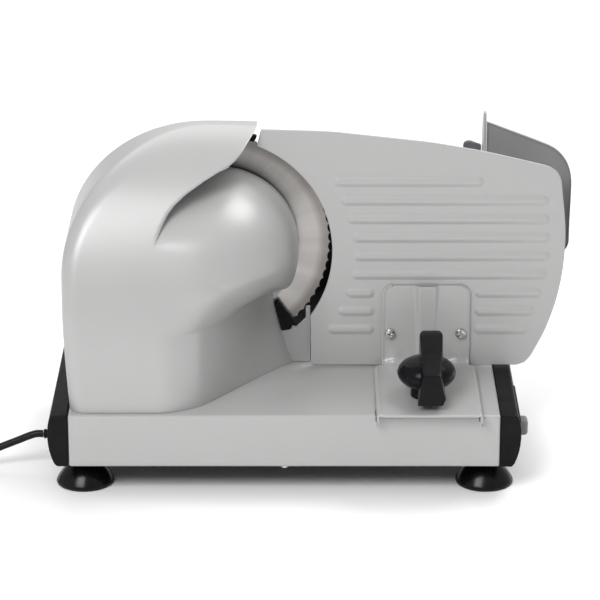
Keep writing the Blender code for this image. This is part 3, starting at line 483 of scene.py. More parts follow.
def curve_through(table, values):
    """A smooth curve through a table of pairs, read at the given values."""
    known = np.array(table)
    at = np.clip(values, known[0, 0], known[-1, 0])
    slopes = np.gradient(known[:, 1], known[:, 0])
    index = np.clip(np.searchsorted(known[:, 0], at) - 1, 0, len(known) - 2)
    span = known[index + 1, 0] - known[index, 0]
    share = (at - known[index, 0]) / span
    return (
        (2 * share ** 3 - 3 * share ** 2 + 1) * known[index, 1]
        + (share ** 3 - 2 * share ** 2 + share) * span * slopes[index]
        + (3 * share ** 2 - 2 * share ** 3) * known[index + 1, 1]
        + (share ** 3 - share ** 2) * span * slopes[index + 1]
    )


def body_depth(height):
    """Depth of the main front face, which is upright below and curves back above."""
    rise = np.clip((height - LEAN_START) / LEAN_HEIGHT, 0.0, 0.9999)
    return FULL_DEPTH * np.sqrt(1.0 - rise ** 2)


def wall_depth(across, height):
    """Depth of the lower wall, its footprint shifted so that it meets the plate along WALL_END."""
    line = np.array(WALL_END)[::-1]
    end = np.interp(height, line[:, 1], line[:, 0])
    share = np.clip((across - WALL_START) / (end - WALL_START), 0.0, 1.0)
    moved = across + (FOOT_AT_PLATE - end) * share * share * (3 - 2 * share)
    return RIM_DEPTH + (curve_through(FOOTPRINT, moved) - RIM_DEPTH) * (
        (body_depth(height) - RIM_DEPTH) / (FULL_DEPTH - RIM_DEPTH)
    )


def waist_depth(across):
    """Section of the dome at the height of the blade's axis: close to a quarter ellipse."""
    share = np.clip((BLADE_X + RIM_RADIUS - across) / DOME_SPAN, 0.0, 1.0)
    return RIM_DEPTH + (body_depth(BLADE_Z) - RIM_DEPTH) * np.sqrt(1.0 - (1.0 - share) ** DOME_POWER)


def dome_depth(across, height):
    """Depth of the dome, which is round above the axis and blends into the lower wall below it."""
    rise = np.clip((height - BLADE_Z) / RIM_RADIUS, -0.99999, 0.99999)
    squeeze = np.sqrt(1.0 - np.clip(rise, 0.0, 1.0) ** 2)
    widened = BLADE_X + (across - BLADE_X) / np.maximum(squeeze, 0.02)
    spread_x = np.where(across > BLADE_X, widened, across)
    tall = np.minimum(squeeze, (body_depth(height) - RIM_DEPTH) / (body_depth(BLADE_Z) - RIM_DEPTH))
    upper = RIM_DEPTH + (waist_depth(spread_x) - RIM_DEPTH) * tall
    climb = np.clip((height - CREASE_Z) / (BLADE_Z - CREASE_Z), 0.0, 1.0)
    bulge = waist_depth(across) - wall_depth(across, np.full_like(across, BLADE_Z))
    lower = wall_depth(across, height) + bulge * np.sin(climb * math.pi / 2) ** 0.9
    return np.where(height > BLADE_Z, upper, lower)


def split_radius(angle):
    """Where the dome ends and the body begins, along a ray from the blade axis."""
    if angle <= HOOD_FADE:
        return float(curve_through(HOOD_EDGE, np.array([angle]))[0])
    crease = (BLADE_Z - CREASE_Z) / abs(math.sin(math.radians(max(angle, CREASE_START))))
    share = smooth_step((angle - HOOD_FADE) / (CREASE_START - HOOD_FADE))
    return HOOD_EDGE[-1][1] * (1 - share) + crease * share


def outer_radius(angle, edge):
    """Where a ray from the blade axis leaves the housing's outline."""
    direction = Vector((math.cos(math.radians(angle)), math.sin(math.radians(angle))))
    best = 1e9
    for first, second in zip(edge, edge[1:]):
        start = Vector(first) - Vector((BLADE_X, BLADE_Z))
        along = Vector(second) - Vector(first)
        across = direction.x * along.y - direction.y * along.x
        if abs(across) < 1e-9:
            continue
        reach = (start.x * along.y - start.y * along.x) / across
        share = (start.x * direction.y - start.y * direction.x) / across
        if reach > 0 and -1e-6 <= share <= 1 + 1e-6:
            best = min(best, reach)
    return best


def distance_to(points, edge):
    """Distance of each point from a chain of straight lines."""
    best = np.full(len(points), 1e9)
    for first, second in zip(np.array(edge[:-1]), np.array(edge[1:])):
        along = second - first
        share = np.clip(((points - first) @ along) / (along @ along), 0.0, 1.0)
        best = np.minimum(best, np.linalg.norm(points - first - share[:, None] * along, axis=1))
    return best


def edge_drop(distance, radius):
    """How far a rounded edge falls back at a distance inside it."""
    inside = np.clip(radius - distance, 0.0, radius)
    return radius - np.sqrt(radius ** 2 - inside ** 2)


def at_angle(angle, radius):
    """A place (across, height) at an angle in degrees and a distance from the blade's axis."""
    turn = math.radians(angle)
    return (BLADE_X + radius * math.cos(turn), BLADE_Z + radius * math.sin(turn))


OUTER_SHARES = np.concatenate([
    [0.0, 0.012, 0.03, 0.06], np.linspace(0.1, 0.8, 16), 1 - np.geomspace(0.17, 0.004, 12), [1.0],
])
OUTER_ANGLES = np.concatenate([
    np.linspace(HOOD_START, HOOD_FADE, 78), np.linspace(HOOD_FADE, BODY_END, 130)[1:],
])
INNER_SHARES = np.sin(np.linspace(0.0, 1.0, 30) * math.pi / 2)
INNER_ANGLES = np.concatenate([
    np.linspace(RIM_MEETS_HOOD, BODY_END, 140), np.linspace(BODY_END, 360 + RIM_MEETS_HOOD, 130)[1:],
])


def with_depth(places, depths):
    """Rows of points from rows of (across, height) places and their depths."""
    return [
        [(x, -deep, z) for (x, z), deep in zip(row, row_depths)]
        for row, row_depths in zip(places, depths)
    ]


def body_rows(edge):
    """The main body and the hood, from where the dome ends out to the outline."""
    whole_edge = list(WALL_END) + edge
    places = []
    for angle in OUTER_ANGLES:
        near = split_radius(angle)
        far = outer_radius(angle, whole_edge)
        places.append([at_angle(angle, near + (far - near) * share) for share in OUTER_SHARES])
    points = np.array(places).reshape(-1, 2)
    across, height = points[:, 0], points[:, 1]
    on_hood = np.repeat(OUTER_ANGLES, len(OUTER_SHARES)) <= HOOD_FADE
    beside_dome = ~on_hood & (height > CREASE_Z)
    left_of_dome = beside_dome & (across < DOME_LEFT)
    depth = wall_depth(across, height)
    depth[on_hood] = body_depth(height[on_hood])
    depth[beside_dome] = dome_depth(across[beside_dome], height[beside_dome])
    depth[left_of_dome] = body_depth(height[left_of_dome])
    depth -= edge_drop(distance_to(points, edge), EDGE_ROUND)
    hood_line = [at_angle(angle, radius) for angle, radius in HOOD_EDGE]
    step = np.clip(body_depth(height) - dome_depth(across, height), 0.0, 2 * HOOD_ROUND)
    rim = edge_drop(distance_to(points, hood_line), HOOD_ROUND)
    rim *= np.minimum(1.0, step / (2 * HOOD_ROUND))
    depth[on_hood] -= rim[on_hood]
    depth = np.maximum(depth, RIM_DEPTH)
    return with_depth(places, depth.reshape(len(places), -1))


def run_back(line, end_depths):
    """Rows from a line of points straight back to the given depths."""
    return [
        [(x, y + (-end - y) * share, z) for (x, y, z), end in zip(line, end_depths)]
        for share in (0.0, 0.04, 0.15, 0.5, 1.0)
    ]


def under_hood_depths(line):
    """Depths at which the hood's inner edge ends: on the dome, or at the blade's back plate."""
    depths = []
    for (x, y, z), angle in zip(line, OUTER_ANGLES):
        if angle >= RIM_MEETS_HOOD:
            under = dome_depth(np.array([x]), np.array([z]))[0]
        else:
            under = RIM_DEPTH
        depths.append(min(-y, under))
    return depths


def dome_reach(angle):
    """How far the dome goes from the blade's axis: to the hood, the crease or its own rim."""
    if angle <= BODY_END:
        return split_radius(angle)
    share = min(1.0, (angle - BODY_END) / RIM_BLEND)
    return split_radius(BODY_END) * (1 - share) + RIM_RADIUS * share


def dome_rows():
    """The dome, from the blade's axis outwards, with its creases evened out."""
    places = []
    for angle in INNER_ANGLES:
        end = dome_reach(angle)
        places.append([at_angle(angle, end * share) for share in INNER_SHARES])
    flat = np.array(places).reshape(-1, 2)
    depth = dome_depth(flat[:, 0], flat[:, 1]).reshape(len(places), -1)
    weight = np.clip((1.0 - INNER_SHARES) / 0.12, 0.0, 1.0)
    for _ in range(EVENING_PASSES):
        softer = depth.copy()
        softer[:, 1:-1] = 0.5 * depth[:, 1:-1] + 0.25 * (depth[:, :-2] + depth[:, 2:])
        softer[1:-1, 1:-1] = 0.5 * softer[1:-1, 1:-1] + 0.25 * (softer[:-2, 1:-1] + softer[2:, 1:-1])
        depth = depth * (1 - weight) + softer * weight
        depth[:, 0] = depth[:, 1].mean()
    return with_depth(places, depth)


def sliver_rows():
    """The sliver of the lower wall between the crease and the dome's rim."""
    places, depths = [], []
    for angle in INNER_ANGLES:
        end = dome_reach(angle)
        if BODY_END <= angle <= BODY_END + RIM_BLEND + 0.5 and end < RIM_RADIUS:
            line = [at_angle(angle, end + (RIM_RADIUS - end) * share) for share in np.linspace(0, 1, 8)]
            place = np.array(line)
            places.append(line)
            depths.append(wall_depth(place[:, 0], place[:, 1]))
    return with_depth(places, depths)


def make_housing():
    """Motor cover: body and hood, the edges that run back to the plate, and the dome."""
    body = body_rows(silhouette())
    outer_line = [row[-1] for row in body]
    hood_count = int((OUTER_ANGLES <= HOOD_FADE).sum())
    hood_line = [row[0] for row in body[:hood_count]]
    shape = Shape().grid(body)
    for line in (outer_line, body[-1], body[0]):
        shape.grid(run_back(line, [RIM_DEPTH] * len(line)))
    shape.grid(run_back(hood_line, under_hood_depths(hood_line)))
    shape.grid(dome_rows())
    shape.grid(sliver_rows())
    make_piece("housing_cover", shape, "base", "silver_paint", ("motor_housing",), 50.0, 0.05)


# ---- blade, guard and back plate ---------------------------------------------------------
def blade_ring(radii, depth):
    """A ring of points about the blade's axis, one at each of its even angles."""
    turns = np.linspace(0.0, 2 * math.pi, len(radii), endpoint=False)
    return [
        (BLADE_X + radius * math.cos(turn), depth, BLADE_Z + radius * math.sin(turn))
        for radius, turn in zip(radii, turns)
    ]


def make_blade():
    """A disc with a ground bevel and scalloped teeth."""
    steps = TEETH * 8
    stations = ((5.3, 0.6), (22.0, 0.6), (60.0, 0.6), (86.5, 0.6), (88.0, 0.55), (95.0, 0.12))
    teeth = [BLADE_RADIUS - 1.8 * math.sin(math.pi * (step % 8) / 8) ** 0.7 for step in range(steps)]
    front = [blade_ring([radius] * steps, -half) for radius, half in stations]
    back = [blade_ring([radius] * steps, 0.5 * half + 0.3) for radius, half in stations]
    tips = [blade_ring(teeth, -0.10), blade_ring(teeth, 0.30)]
    shape = Shape().grid(front + tips + back[::-1] + [front[0]], close_columns=True)
    make_piece("blade_disc", shape, "blade_unit", "brushed_steel", ("blade",), 25.0, look=BLADE_STEEL)


def make_guard():
    """Black guard round the blade away from the cut, with the wedge that ends it."""
    centre = (BLADE_X, BLADE_Z)
    start, end = 70.6, 311.5
    shape = Shape()
    for outer, inner, front in ((102.4, 98.6, -2.7), (98.8, 94.5, 1.2)):
        band = arc(centre, outer, start, end, 110) + arc(centre, inner, end, start, 110)
        shape.slab(band, front, 2.5)
    wedge = rounded([(-9.5, 125.8), (-3.2, 100.8), (4.9, 102.2), (7.8, 108.4), (-6.4, 128.6)], 1.6, 4)
    shape.slab(wedge, -8.2, -6.1)
    piece = make_piece("blade_guard_rim", shape, "base", "black_plastic", ("blade_guard",), 30.0, 0.0)
    soften(piece, 0.5, 2)


def make_back_plate():
    """The plate behind the dome and the blade, with the small post at its corner."""
    centre = (BLADE_X, BLADE_Z)
    outline = [(19.5, HOUSING_FOOT)] + arc(centre, 102.9, -40.9, -49, 8)
    outline += [(4.0, 105.5), (-6.0, 105.5), (-13.0, 125.0), (-11.0, 130.0)]
    outline += arc(centre, RIM_RADIUS, -45.8, 119, 90)
    outline += [at_angle(angle, radius) for angle, radius in HOOD_EDGE[6::-1]]
    outline += silhouette()[-2::-1]
    shape = Shape().slab(outline, -6.0, -3.0)
    piece = make_piece("blade_back_plate", shape, "base", "silver_paint", ("gearbox_plate",), 30.0, 0.0)
    soften(piece, 0.4, 2)
    post = Shape().box((18.2, -5.8, 71.5), (22.0, -1.0, 122.0))
    make_piece("back_plate_post", post, "base", "silver_paint", (), 30.0)


make_housing()
make_blade()
make_guard()
make_back_plate()


# ---- guide plate and its bracket -----------------------------------------------------------
RIB_HEIGHT, RIB_WIDTH, RIB_PITCH, RIB_TOP_Z = 1.35, 11.6, 16.9, 241.5
RIB_END = 1.0                     # how far a rib's soft end reaches past its span
RIB_SPANS = (
    ((42.0, 171.5),), ((48.0, 228.0),), ((54.0, 229.0),),
    ((58.0, 230.0),), ((59.0, 230.0),), ((58.0, 228.0),),
    ((53.0, 78.0), (165.0, 224.0)), ((46.0, 78.0), (165.0, 218.0)), ((37.0, 78.0), (165.0, 214.0)),
)


def guide_outline():
    cutout = arc((-61.1, 178.2), 102.1, 68.7, -35.5, 90)
    bottom = [(22.7, 75.0), (25.2, 72.8), (203.0, 72.8), (210.0, 75.2), (215.0, 80.5)]
    right = [(227.2, 104.5), (236.2, 131.5), (241.1, 157.2), (243.0, 182.0), (242.4, 205.6)]
    corner = [(239.4, 229.5), (237.8, 244.0), (234.0, 251.0), (227.2, 255.3)]
    top = [(208.5, 260.0), (171.4, 268.8), (126.8, 276.8), (38.7, 286.6), (-20.2, 288.4)]
    return cutout + rounded(bottom + right + corner + top, 12.0, 6, range(4, 18))


def stadium(left, right, height, half, steps=10):
    return (arc((left + half, height), half, 90, 270, steps)
            + arc((right - half, height), half, -90, 90, steps))


def make_guide_plate():
    """The ribbed guide plate in front of the blade."""
    shape = Shape().slab(guide_outline(), GUIDE_FRONT, GUIDE_BACK)
    for row, spans in enumerate(RIB_SPANS):
        height = RIB_TOP_Z - row * RIB_PITCH
        for left, right in spans:
            rings = []
            for step in range(13):
                share = step / 12
                inset = share * (RIB_WIDTH / 2 - 0.15)
                rise = RIB_HEIGHT * (0.5 - 0.5 * math.cos(math.pi * min(1.0, share / 0.9)))
                reach = RIB_END - inset
                ring = stadium(left - reach, right + reach, height, RIB_WIDTH / 2 - inset)
                rings.append([(x, GUIDE_FRONT + 0.05 - rise, z) for x, z in ring])
            shape.tube(rings, fill_first=False)
    piece = make_piece("guide_plate_ribbed", shape, "guide", "silver_paint", ("guide_plate",), 30.0, 0.0)
    soften(piece, 0.9, 3, 50.0)


UPRIGHT_LEFT, UPRIGHT_RIGHT, UPRIGHT_TOP, UPRIGHT_DEPTH = 84.6, 161.6, 147.6, 20.9
FOOT_LEFT, FOOT_RIGHT, FOOT_TOP = 77.5, 167.0, 75.5
BEND, CORNER = 6.0, 8.0           # radii of the bend and of the upright's top corners
SIDES_START, TIP_START, FOOT_END = 31.0, 136.0, 143.0
SCREW_Z = 103.4


def bracket_path():
    """(depth, height, share of the foot) down the upright, round the bend and along the foot."""
    drops = (0.0, 0.3, 1.0, 2.2, 4.0, 6.5, 9.0)
    path = [(UPRIGHT_DEPTH, UPRIGHT_TOP - drop, 0.0) for drop in drops]
    path += [(UPRIGHT_DEPTH, height, 0.0) for height in np.linspace(136.0, FOOT_TOP + BEND, 22)]
    for step in range(1, 11):
        turn = math.pi / 2 * step / 10
        depth = UPRIGHT_DEPTH + BEND * (1 - math.cos(turn))
        path.append((depth, FOOT_TOP + BEND * (1 - math.sin(turn)), step / 10))
    along = (27.6, 28.6, 30.0, 32.0, 34.5, 37.0, *np.linspace(42.0, 134.0, 18), 136.8)
    path += [(depth, FOOT_TOP, 1.0) for depth in along]
    front_edge = ((139.5, 0.0), (141.5, 0.2), (142.7, 0.9), (FOOT_END, 2.0))
    return path + [(depth, FOOT_TOP - drop, 1.0) for depth, drop in front_edge]


def bracket_edges(depth, height, foot):
    """Left edge, right edge and the drop of the turned-down sides at a place on the path."""
    if foot < 1.0:
        drop = max(0.0, CORNER - (UPRIGHT_TOP - height)) if foot == 0.0 else 0.0
        pull = CORNER - math.sqrt(max(0.0, CORNER ** 2 - drop ** 2))
        return UPRIGHT_LEFT + pull, UPRIGHT_RIGHT - pull, 2.0
    widen = min(1.0, max(0.0, (depth - 27.0) / 8.0))
    widen = math.sqrt(1.0 - (1.0 - widen) ** 2)
    left = UPRIGHT_LEFT + (FOOT_LEFT - UPRIGHT_LEFT) * widen
    right = UPRIGHT_RIGHT + (FOOT_RIGHT - UPRIGHT_RIGHT) * widen
    side = 4.3 if depth > SIDES_START else 2.0
    if depth > TIP_START:
        side = 8.5 if depth < FOOT_END else 8.0
    return left, right, side


def pressed_rise(x, depth, height, foot):
    """How far the upright's bead and the two gussets in the bend stand out."""
    rise = 0.0
    if foot < 1.0:
        share = min(1.0, max(0.0, (height - 76.0) / 70.0))
        inside = min(x - 116.5 + 1.6 * share, 130.3 + 2.0 * share - x)
        flank = min(1.0, max(0.0, (inside + 2.2) / 4.4))
        rise = (0.8 + 3.4 * share) * (0.5 - 0.5 * math.cos(math.pi * flank))
    above, ahead = height - FOOT_TOP, depth - UPRIGHT_DEPTH
    for place in (95.5, 150.5):
        near = max(0.0, 1.0 - abs(above - ahead) / 16.0)
        corner_share = max(0.0, 1.0 - (above + ahead) / 19.0)
        rise += 3.0 * smooth_step(1.0 - abs(x - place) / 9.0) * near * corner_share ** 0.7
    return rise


def make_bracket():
    """One bent sheet: upright with a pressed bead, gussets in the bend, foot with turned-down sides."""
    rows = []
    for depth, height, foot in bracket_path():
        left, right, side = bracket_edges(depth, height, foot)
        roll = 2.0 if depth > SIDES_START else 1.0
        lip = ((0.0, side), (0.0, 0.45 * side), (0.2, 0.1 * side), (0.6, -0.3), (1.2, -0.6),
               (1.8, -0.3), (2.5, 0.1))
        across = [(left + shift * roll, sink) for shift, sink in lip]
        across += [(x, 0.0) for x in np.linspace(left + 3.6 * roll, right - 3.6 * roll, 64)]
        across += [(right - shift * roll, sink) for shift, sink in lip[::-1]]
        back, up = math.cos(math.pi / 2 * foot), -math.sin(math.pi / 2 * foot)
        line = []
        for x, sink in across:
            inwards = sink - pressed_rise(x, depth, height, foot)
            line.append((x, -depth + back * inwards, height + up * inwards))
        rows.append(line)
    shape = Shape().grid(rows)
    for left in (FOOT_LEFT, FOOT_RIGHT - 2.2):
        shape.box((left, -142.6, 67.2), (left + 2.2, -137.2, 74.4))
    thicken(make_piece(
        "guide_bracket_sheet", shape, "guide", "silver_paint", ("guide_bracket",), 60.0, 0.0
    ))


def make_pan_screw(name, centre, node):
    """A pan head with a cross recess, facing -Y."""
    radius, height = 4.8, 3.1
    rings, sides = 22, 96
    rows = []
    for ring in range(rings + 1):
        share = ring / rings
        distance = radius * share
        head = height * (1.0 - 0.18 * share ** 2)
        if share >= 0.8:
            head = height * 0.885 * math.sqrt(1.0 - 0.9 * ((share - 0.8) / 0.2) ** 2)
        recess = 1.5 * math.sqrt(1.0 - distance / 3.1) if distance < 2.9 else 0.0
        row = []
        for side in range(sides):
            angle = 2 * math.pi * side / sides
            across, up = distance * math.cos(angle), distance * math.sin(angle)
            arm = min(abs(across), abs(up))
            cut = min(1.0, max(0.0, (0.62 - 0.10 * share - arm) / 0.18 + 0.5))
            row.append((centre[0] + across, centre[1] - head + recess * cut, centre[2] + up))
        rows.append(row)
    rows.append([(x, centre[1] - 0.3, z) for x, _, z in rows[-1]])
    shape = Shape().grid(rows, close_columns=True)
    make_piece(name, shape, "guide", "zinc_plated", (node,), 40.0)


KNOB_X, KNOB_Y = 121.5, -98.0


def make_knob():
    """Disc and collar turned in one, with the grip bar across them."""
    shape = Shape().lathe(
        [(0.0, 109.0), (10.0, 108.8), (16.5, 107.6), (21.0, 105.0), (23.8, 101.6), (25.0, 98.0),
         (24.9, 95.8), (24.2, 93.4), (22.4, 90.8), (19.6, 88.0), (16.5, 86.6), (14.2, 86.0),
         (13.6, 85.3), (13.5, 84.0), (13.5, 76.6), (13.0, 75.9), (0.0, 75.9)],
        (KNOB_X - 0.7, KNOB_Y, 0.0),
    )
    stations = 25
    rings = []
    for index in range(stations):
        share = index / (stations - 1)
        y = -135.6 + 70.0 * share
        top_half = 7.0 + 3.4 * share ** 0.7
        low_half = 11.9 - 1.2 * share
        top = 107.4 + 17.6 * share + 1.4 * math.sin(math.pi * share)
        low = 80.8 + 17.0 * share ** 1.6
        if share > 0.8:
            ease = (share - 0.8) / 0.2
            top -= 2.0 * ease ** 2
            top_half -= 3.4 * ease ** 2.5
            low_half -= 3.4 * ease ** 2.5
        right_low = low + (6.0 if index < 5 else 2.5)
        mid = (top + low) / 2
        mid_half = 0.45 * top_half + 0.55 * low_half
        section = [
            (-top_half, top), (top_half, top), (mid_half, mid), (low_half, right_low),
            (low_half - 2.4, low), (-low_half, low), (-mid_half, mid),
        ]
        middle = KNOB_X + 2.4 + 1.6 * share
        lean = 1.6 * (1 - share) / (top - low)
        rings.append([(middle + across, y + lean * (up - low), up) for across, up in section])
    shape.tube(rings)
    piece = make_piece(
        "clamp_knob", shape, "knob", "black_plastic", ("lock_knob",), 32.0, 0.0, GLOSS_BLACK
    )
    soften(piece, 1.5, 3, 40.0)


# ---- end caps, switch and feet ---------------------------------------------------------------
def cap_outline(side):
    face = BASE_LEFT - 0.3 if side < 0 else BASE_RIGHT + 0.3
    bulge = [(10.3, 0.0), (12.4, 3.0), (14.4, 8.0), (16.0, 14.0), (17.0, 20.0), (17.5, 26.5),
             (17.4, 32.0), (16.9, 37.0), (16.0, 41.5), (14.6, 45.2), (13.2, 46.5)]
    points = [(face, BASE_BOTTOM)] + [(face + side * out, BASE_BOTTOM + up) for out, up in bulge]
    return points + [(face, BASE_BOTTOM + 46.7)]


def make_cap(end, side):
    shape = Shape().slab(cap_outline(side), BASE_FRONT, BASE_BACK)
    if side > 0:
        rib = rounded([(193.5, 60.5), (200.0, 60.5), (200.0, 66.3), (193.5, 66.3)], 1.4, 4, (1, 2))
        shape.slab(rib, -127.0, -50.0)
    piece = make_piece(f"{end}_cap", shape, "base", "black_plastic", (f"{end}_end_cap",), 25.0, 0.0)
    soften(piece, 2.0, 5, 35.0)


def make_button():
    outline = rounded([(-108.4, 42.6), (-93.6, 42.6), (-93.6, 56.4), (-108.4, 56.4)], 3.2, 6)
    centre_y, centre_z = -101.0, 49.5
    rows = []
    profile = ((196.5, 0.0), (204.0, 0.0), (206.0, 0.35), (207.1, 1.3), (207.6, 2.8), (207.4, 4.6),
               (207.1, 6.2))
    for x, inset in profile:
        ring = []
        for y, z in outline:
            reach = math.hypot(y - centre_y, z - centre_z)
            share = 1.0 - inset / reach
            ring.append((x, centre_y + (y - centre_y) * share, centre_z + (z - centre_z) * share))
        rows.append(ring)
    shape = Shape().tube(rows)
    make_piece("power_push_button", shape, "button", "grey_plastic", ("power_button",), 45.0, 0.0)


FOOT_PROFILE = (
    (0.0, 24.0), (12.2, 24.0), (12.6, 23.7), (12.6, 21.6), (12.2, 21.0), (11.5, 20.6), (11.3, 19.9),
    (11.8, 19.0), (13.4, 17.0), (15.6, 14.7), (18.0, 12.3), (20.4, 9.5), (22.3, 6.8), (23.8, 4.2),
    (24.6, 2.6), (24.7, 1.6), (24.4, 0.5), (23.6, 0.0), (20.4, 0.0), (19.2, 0.7), (15.0, 4.8),
    (8.0, 7.0), (0.0, 7.8),
)


def make_feet():
    for side, x in (("left", -171.2), ("right", 171.2)):
        for end, y in (("front", -106.0), ("rear", 52.0)):
            shape = Shape().lathe(FOOT_PROFILE, (x, y, 0.0))
            name = f"foot_{end}_{side}"
            make_piece(f"suction_{name}", shape, "base", "black_rubber", (name,), 50.0)


# ---- food carriage -----------------------------------------------------------------------------
def inset_ring(outline, distance, depth):
    """The outline pulled towards its centre and set at a depth."""
    centre = np.mean(np.array(outline), axis=0)
    ring = []
    for x, z in outline:
        reach = math.hypot(x - centre[0], z - centre[1])
        share = 1.0 - distance / reach
        ring.append((centre[0] + (x - centre[0]) * share, depth, centre[1] + (z - centre[1]) * share))
    return ring


def make_hand_guard():
    """Sheet guard with a rolled rim, its outer end turned towards the discharge side."""
    outline = [(175.5, 163.5), (245.0, 163.5), (247.8, 166.2), (250.4, 171.2), (251.2, 200.0),
               (251.9, 228.0), (251.0, 236.5), (248.2, 245.0), (242.4, 252.9), (233.6, 259.6),
               (219.3, 265.6), (197.4, 274.0), (175.5, 282.4)]
    outline = rounded(outline, 9.0, 6, range(1, 12))
    dense = []
    for (x, z), (next_x, next_z) in zip(outline, outline[1:] + outline[:1]):
        steps = max(1, int(math.dist((x, z), (next_x, next_z)) / 4.0))
        for step in range(steps):
            dense.append((x + (next_x - x) * step / steps, z + (next_z - z) * step / steps))
    rolled_rim = ((0.0, 27.3), (0.0, 26.2), (0.3, 25.3), (0.9, 24.9), (1.5, 25.2), (1.9, 25.9))
    face = tuple((inset, 26.0) for inset in (2.6, 6.0, 12.0, 19.0, 27.0))
    rings = [inset_ring(dense, inset, depth) for inset, depth in rolled_rim + face]
    shape = Shape().tube(rings, fill_first=False)
    bent = []
    for x, y, z in shape.verts:
        past = max(0.0, x - 231.0)
        bent.append((x - 0.004 * past ** 2, y - 0.018 * past ** 2, z))
    shape.verts = bent
    # The guard wears the darker copy of the silver paint, which paints its shade.
    thicken(make_piece(
        "hand_guard_sheet", shape, "carriage", "silver_paint", ("hand_guard",), 50.0, 0.0, GUARD_PAINTED_SHADE
    ))


def make_fence():
    """The upright side sheet of the carriage, seen edge on, with its lugs for the pusher rod."""
    profile = [(5.0, 93.0), (120.0, 93.0), (120.0, 184.0), (96.0, 205.0), (76.0, 222.0), (58.0, 238.0),
               (49.5, 250.0), (45.5, 272.0), (43.0, 279.0), (36.0, 286.5), (29.5, 291.2), (25.6, 290.5),
               (25.0, 286.0), (25.0, 252.0), (5.0, 235.0)]
    shape = Shape().slab(rounded(profile, 6.0, 6, (2, 3, 4, 5, 6, 7, 8, 9, 13, 14)), 172.6, 175.2, "YZ")
    for low, high in ((17.0, 21.0), (116.0, 120.0)):
        shape.box((158.0, low, 154.0), (173.0, high, 166.0))
    piece = make_piece(
        "carriage_side_fence", shape, "carriage", "silver_paint", ("carriage_fence",), 30.0, 0.0
    )
    soften(piece, 1.2, 4, 40.0)


# ---- cord ----------------------------------------------------------------------------------------
CORD_DIAMETER = 6.4
CORD_Y, CORD_Z = -76.0, 31.4
CORD_REST = CORD_DIAMETER / 2 + 0.2
COIL_MIDDLE = 35.0
COIL_X = -340.0
COIL_Y = CORD_Y + COIL_MIDDLE + CORD_DIAMETER
UPPER_TURN = COIL_MIDDLE + CORD_DIAMETER / 2
RELIEF_END = -208.5
CORD_ROUTE = (
    (RELIEF_END - 0.6, CORD_Y, CORD_Z), (-215.0, CORD_Y, CORD_Z - 0.1), (-222.5, CORD_Y - 0.1, 28.9),
    (-230.0, CORD_Y - 0.3, 25.8), (-238.0, CORD_Y - 0.7, 22.7), (-246.6, CORD_Y - 1.2, 19.3),
    (-255.0, CORD_Y - 1.8, 15.5), (-264.0, CORD_Y - 2.3, 11.2), (-273.5, CORD_Y - 2.6, 7.3),
    (-283.0, CORD_Y - 2.5, 4.8), (-293.0, CORD_Y - 1.8, 3.7), (-303.0, CORD_Y - 0.8, CORD_REST),
    (COIL_X + 29.0, CORD_Y, CORD_REST), (COIL_X + 15.0, CORD_Y, CORD_REST),
)
PLUG_X, PLUG_START, PLUG_Z = -366.0, 56.0, 7.8
TAIL_ROUTE = (
    (COIL_X - UPPER_TURN, COIL_Y + 14.0, 9.4), (COIL_X - UPPER_TURN, COIL_Y + 29.0, 9.4),
    (COIL_X - UPPER_TURN + 0.3, COIL_Y + 37.0, 8.5), (COIL_X - UPPER_TURN + 1.7, COIL_Y + 45.0, 7.3),
    (COIL_X - UPPER_TURN + 4.8, COIL_Y + 54.0, 6.5), (COIL_X - UPPER_TURN + 9.2, COIL_Y + 63.0, 6.6),
    (COIL_X - UPPER_TURN + 13.5, COIL_Y + 71.0, 7.2), (PLUG_X, PLUG_START - 12.0, PLUG_Z),
    (PLUG_X, PLUG_START - 6.0, PLUG_Z), (PLUG_X, PLUG_START - 0.6, PLUG_Z),
)
COIL_TURNS = 4.25
CLOSE = CORD_DIAMETER + 0.08      # distance between the middles of touching turns


def height_over(radius, share, last_low):
    """Height of an upper turn that rests on the turns below it at this part of the lap."""
    slide = CORD_DIAMETER * smooth_step((share - 0.75) / 0.25)
    below = [COIL_MIDDLE + CORD_DIAMETER - slide, COIL_MIDDLE - slide]
    if last_low:
        below.append(COIL_MIDDLE - CORD_DIAMETER)
    height = 8.9
    for low in below:
        height = max(height, CORD_REST + math.sqrt(max(0.0, CLOSE ** 2 - (radius - low) ** 2)))
    return height


def coil_point(turn):
    """The cord's middle after so many turns: two and a half laps in on the floor, then out on top."""
    lap, share = int(turn), turn - int(turn)
    slide = smooth_step((share - 0.75) / 0.25)
    if lap < 2:
        radius, height = COIL_MIDDLE + CORD_DIAMETER * (1 - lap - slide), CORD_REST
    elif lap == 2 and share < 0.75:
        climb = smooth_step((share - 0.42) / 0.33) * math.radians(60.5)
        radius, height = COIL_MIDDLE - CLOSE * math.cos(climb), CORD_REST + CLOSE * math.sin(climb)
    else:
        out = smooth_step((share - 0.5) / 0.25) if lap == 3 else float(lap == 4)
        radius = UPPER_TURN - CORD_DIAMETER * (1 - out)
        height = height_over(radius, share, share < 0.42)
    angle = -math.pi / 2 - 2 * math.pi * turn
    return (COIL_X + radius * math.cos(angle), COIL_Y + radius * math.sin(angle), height)


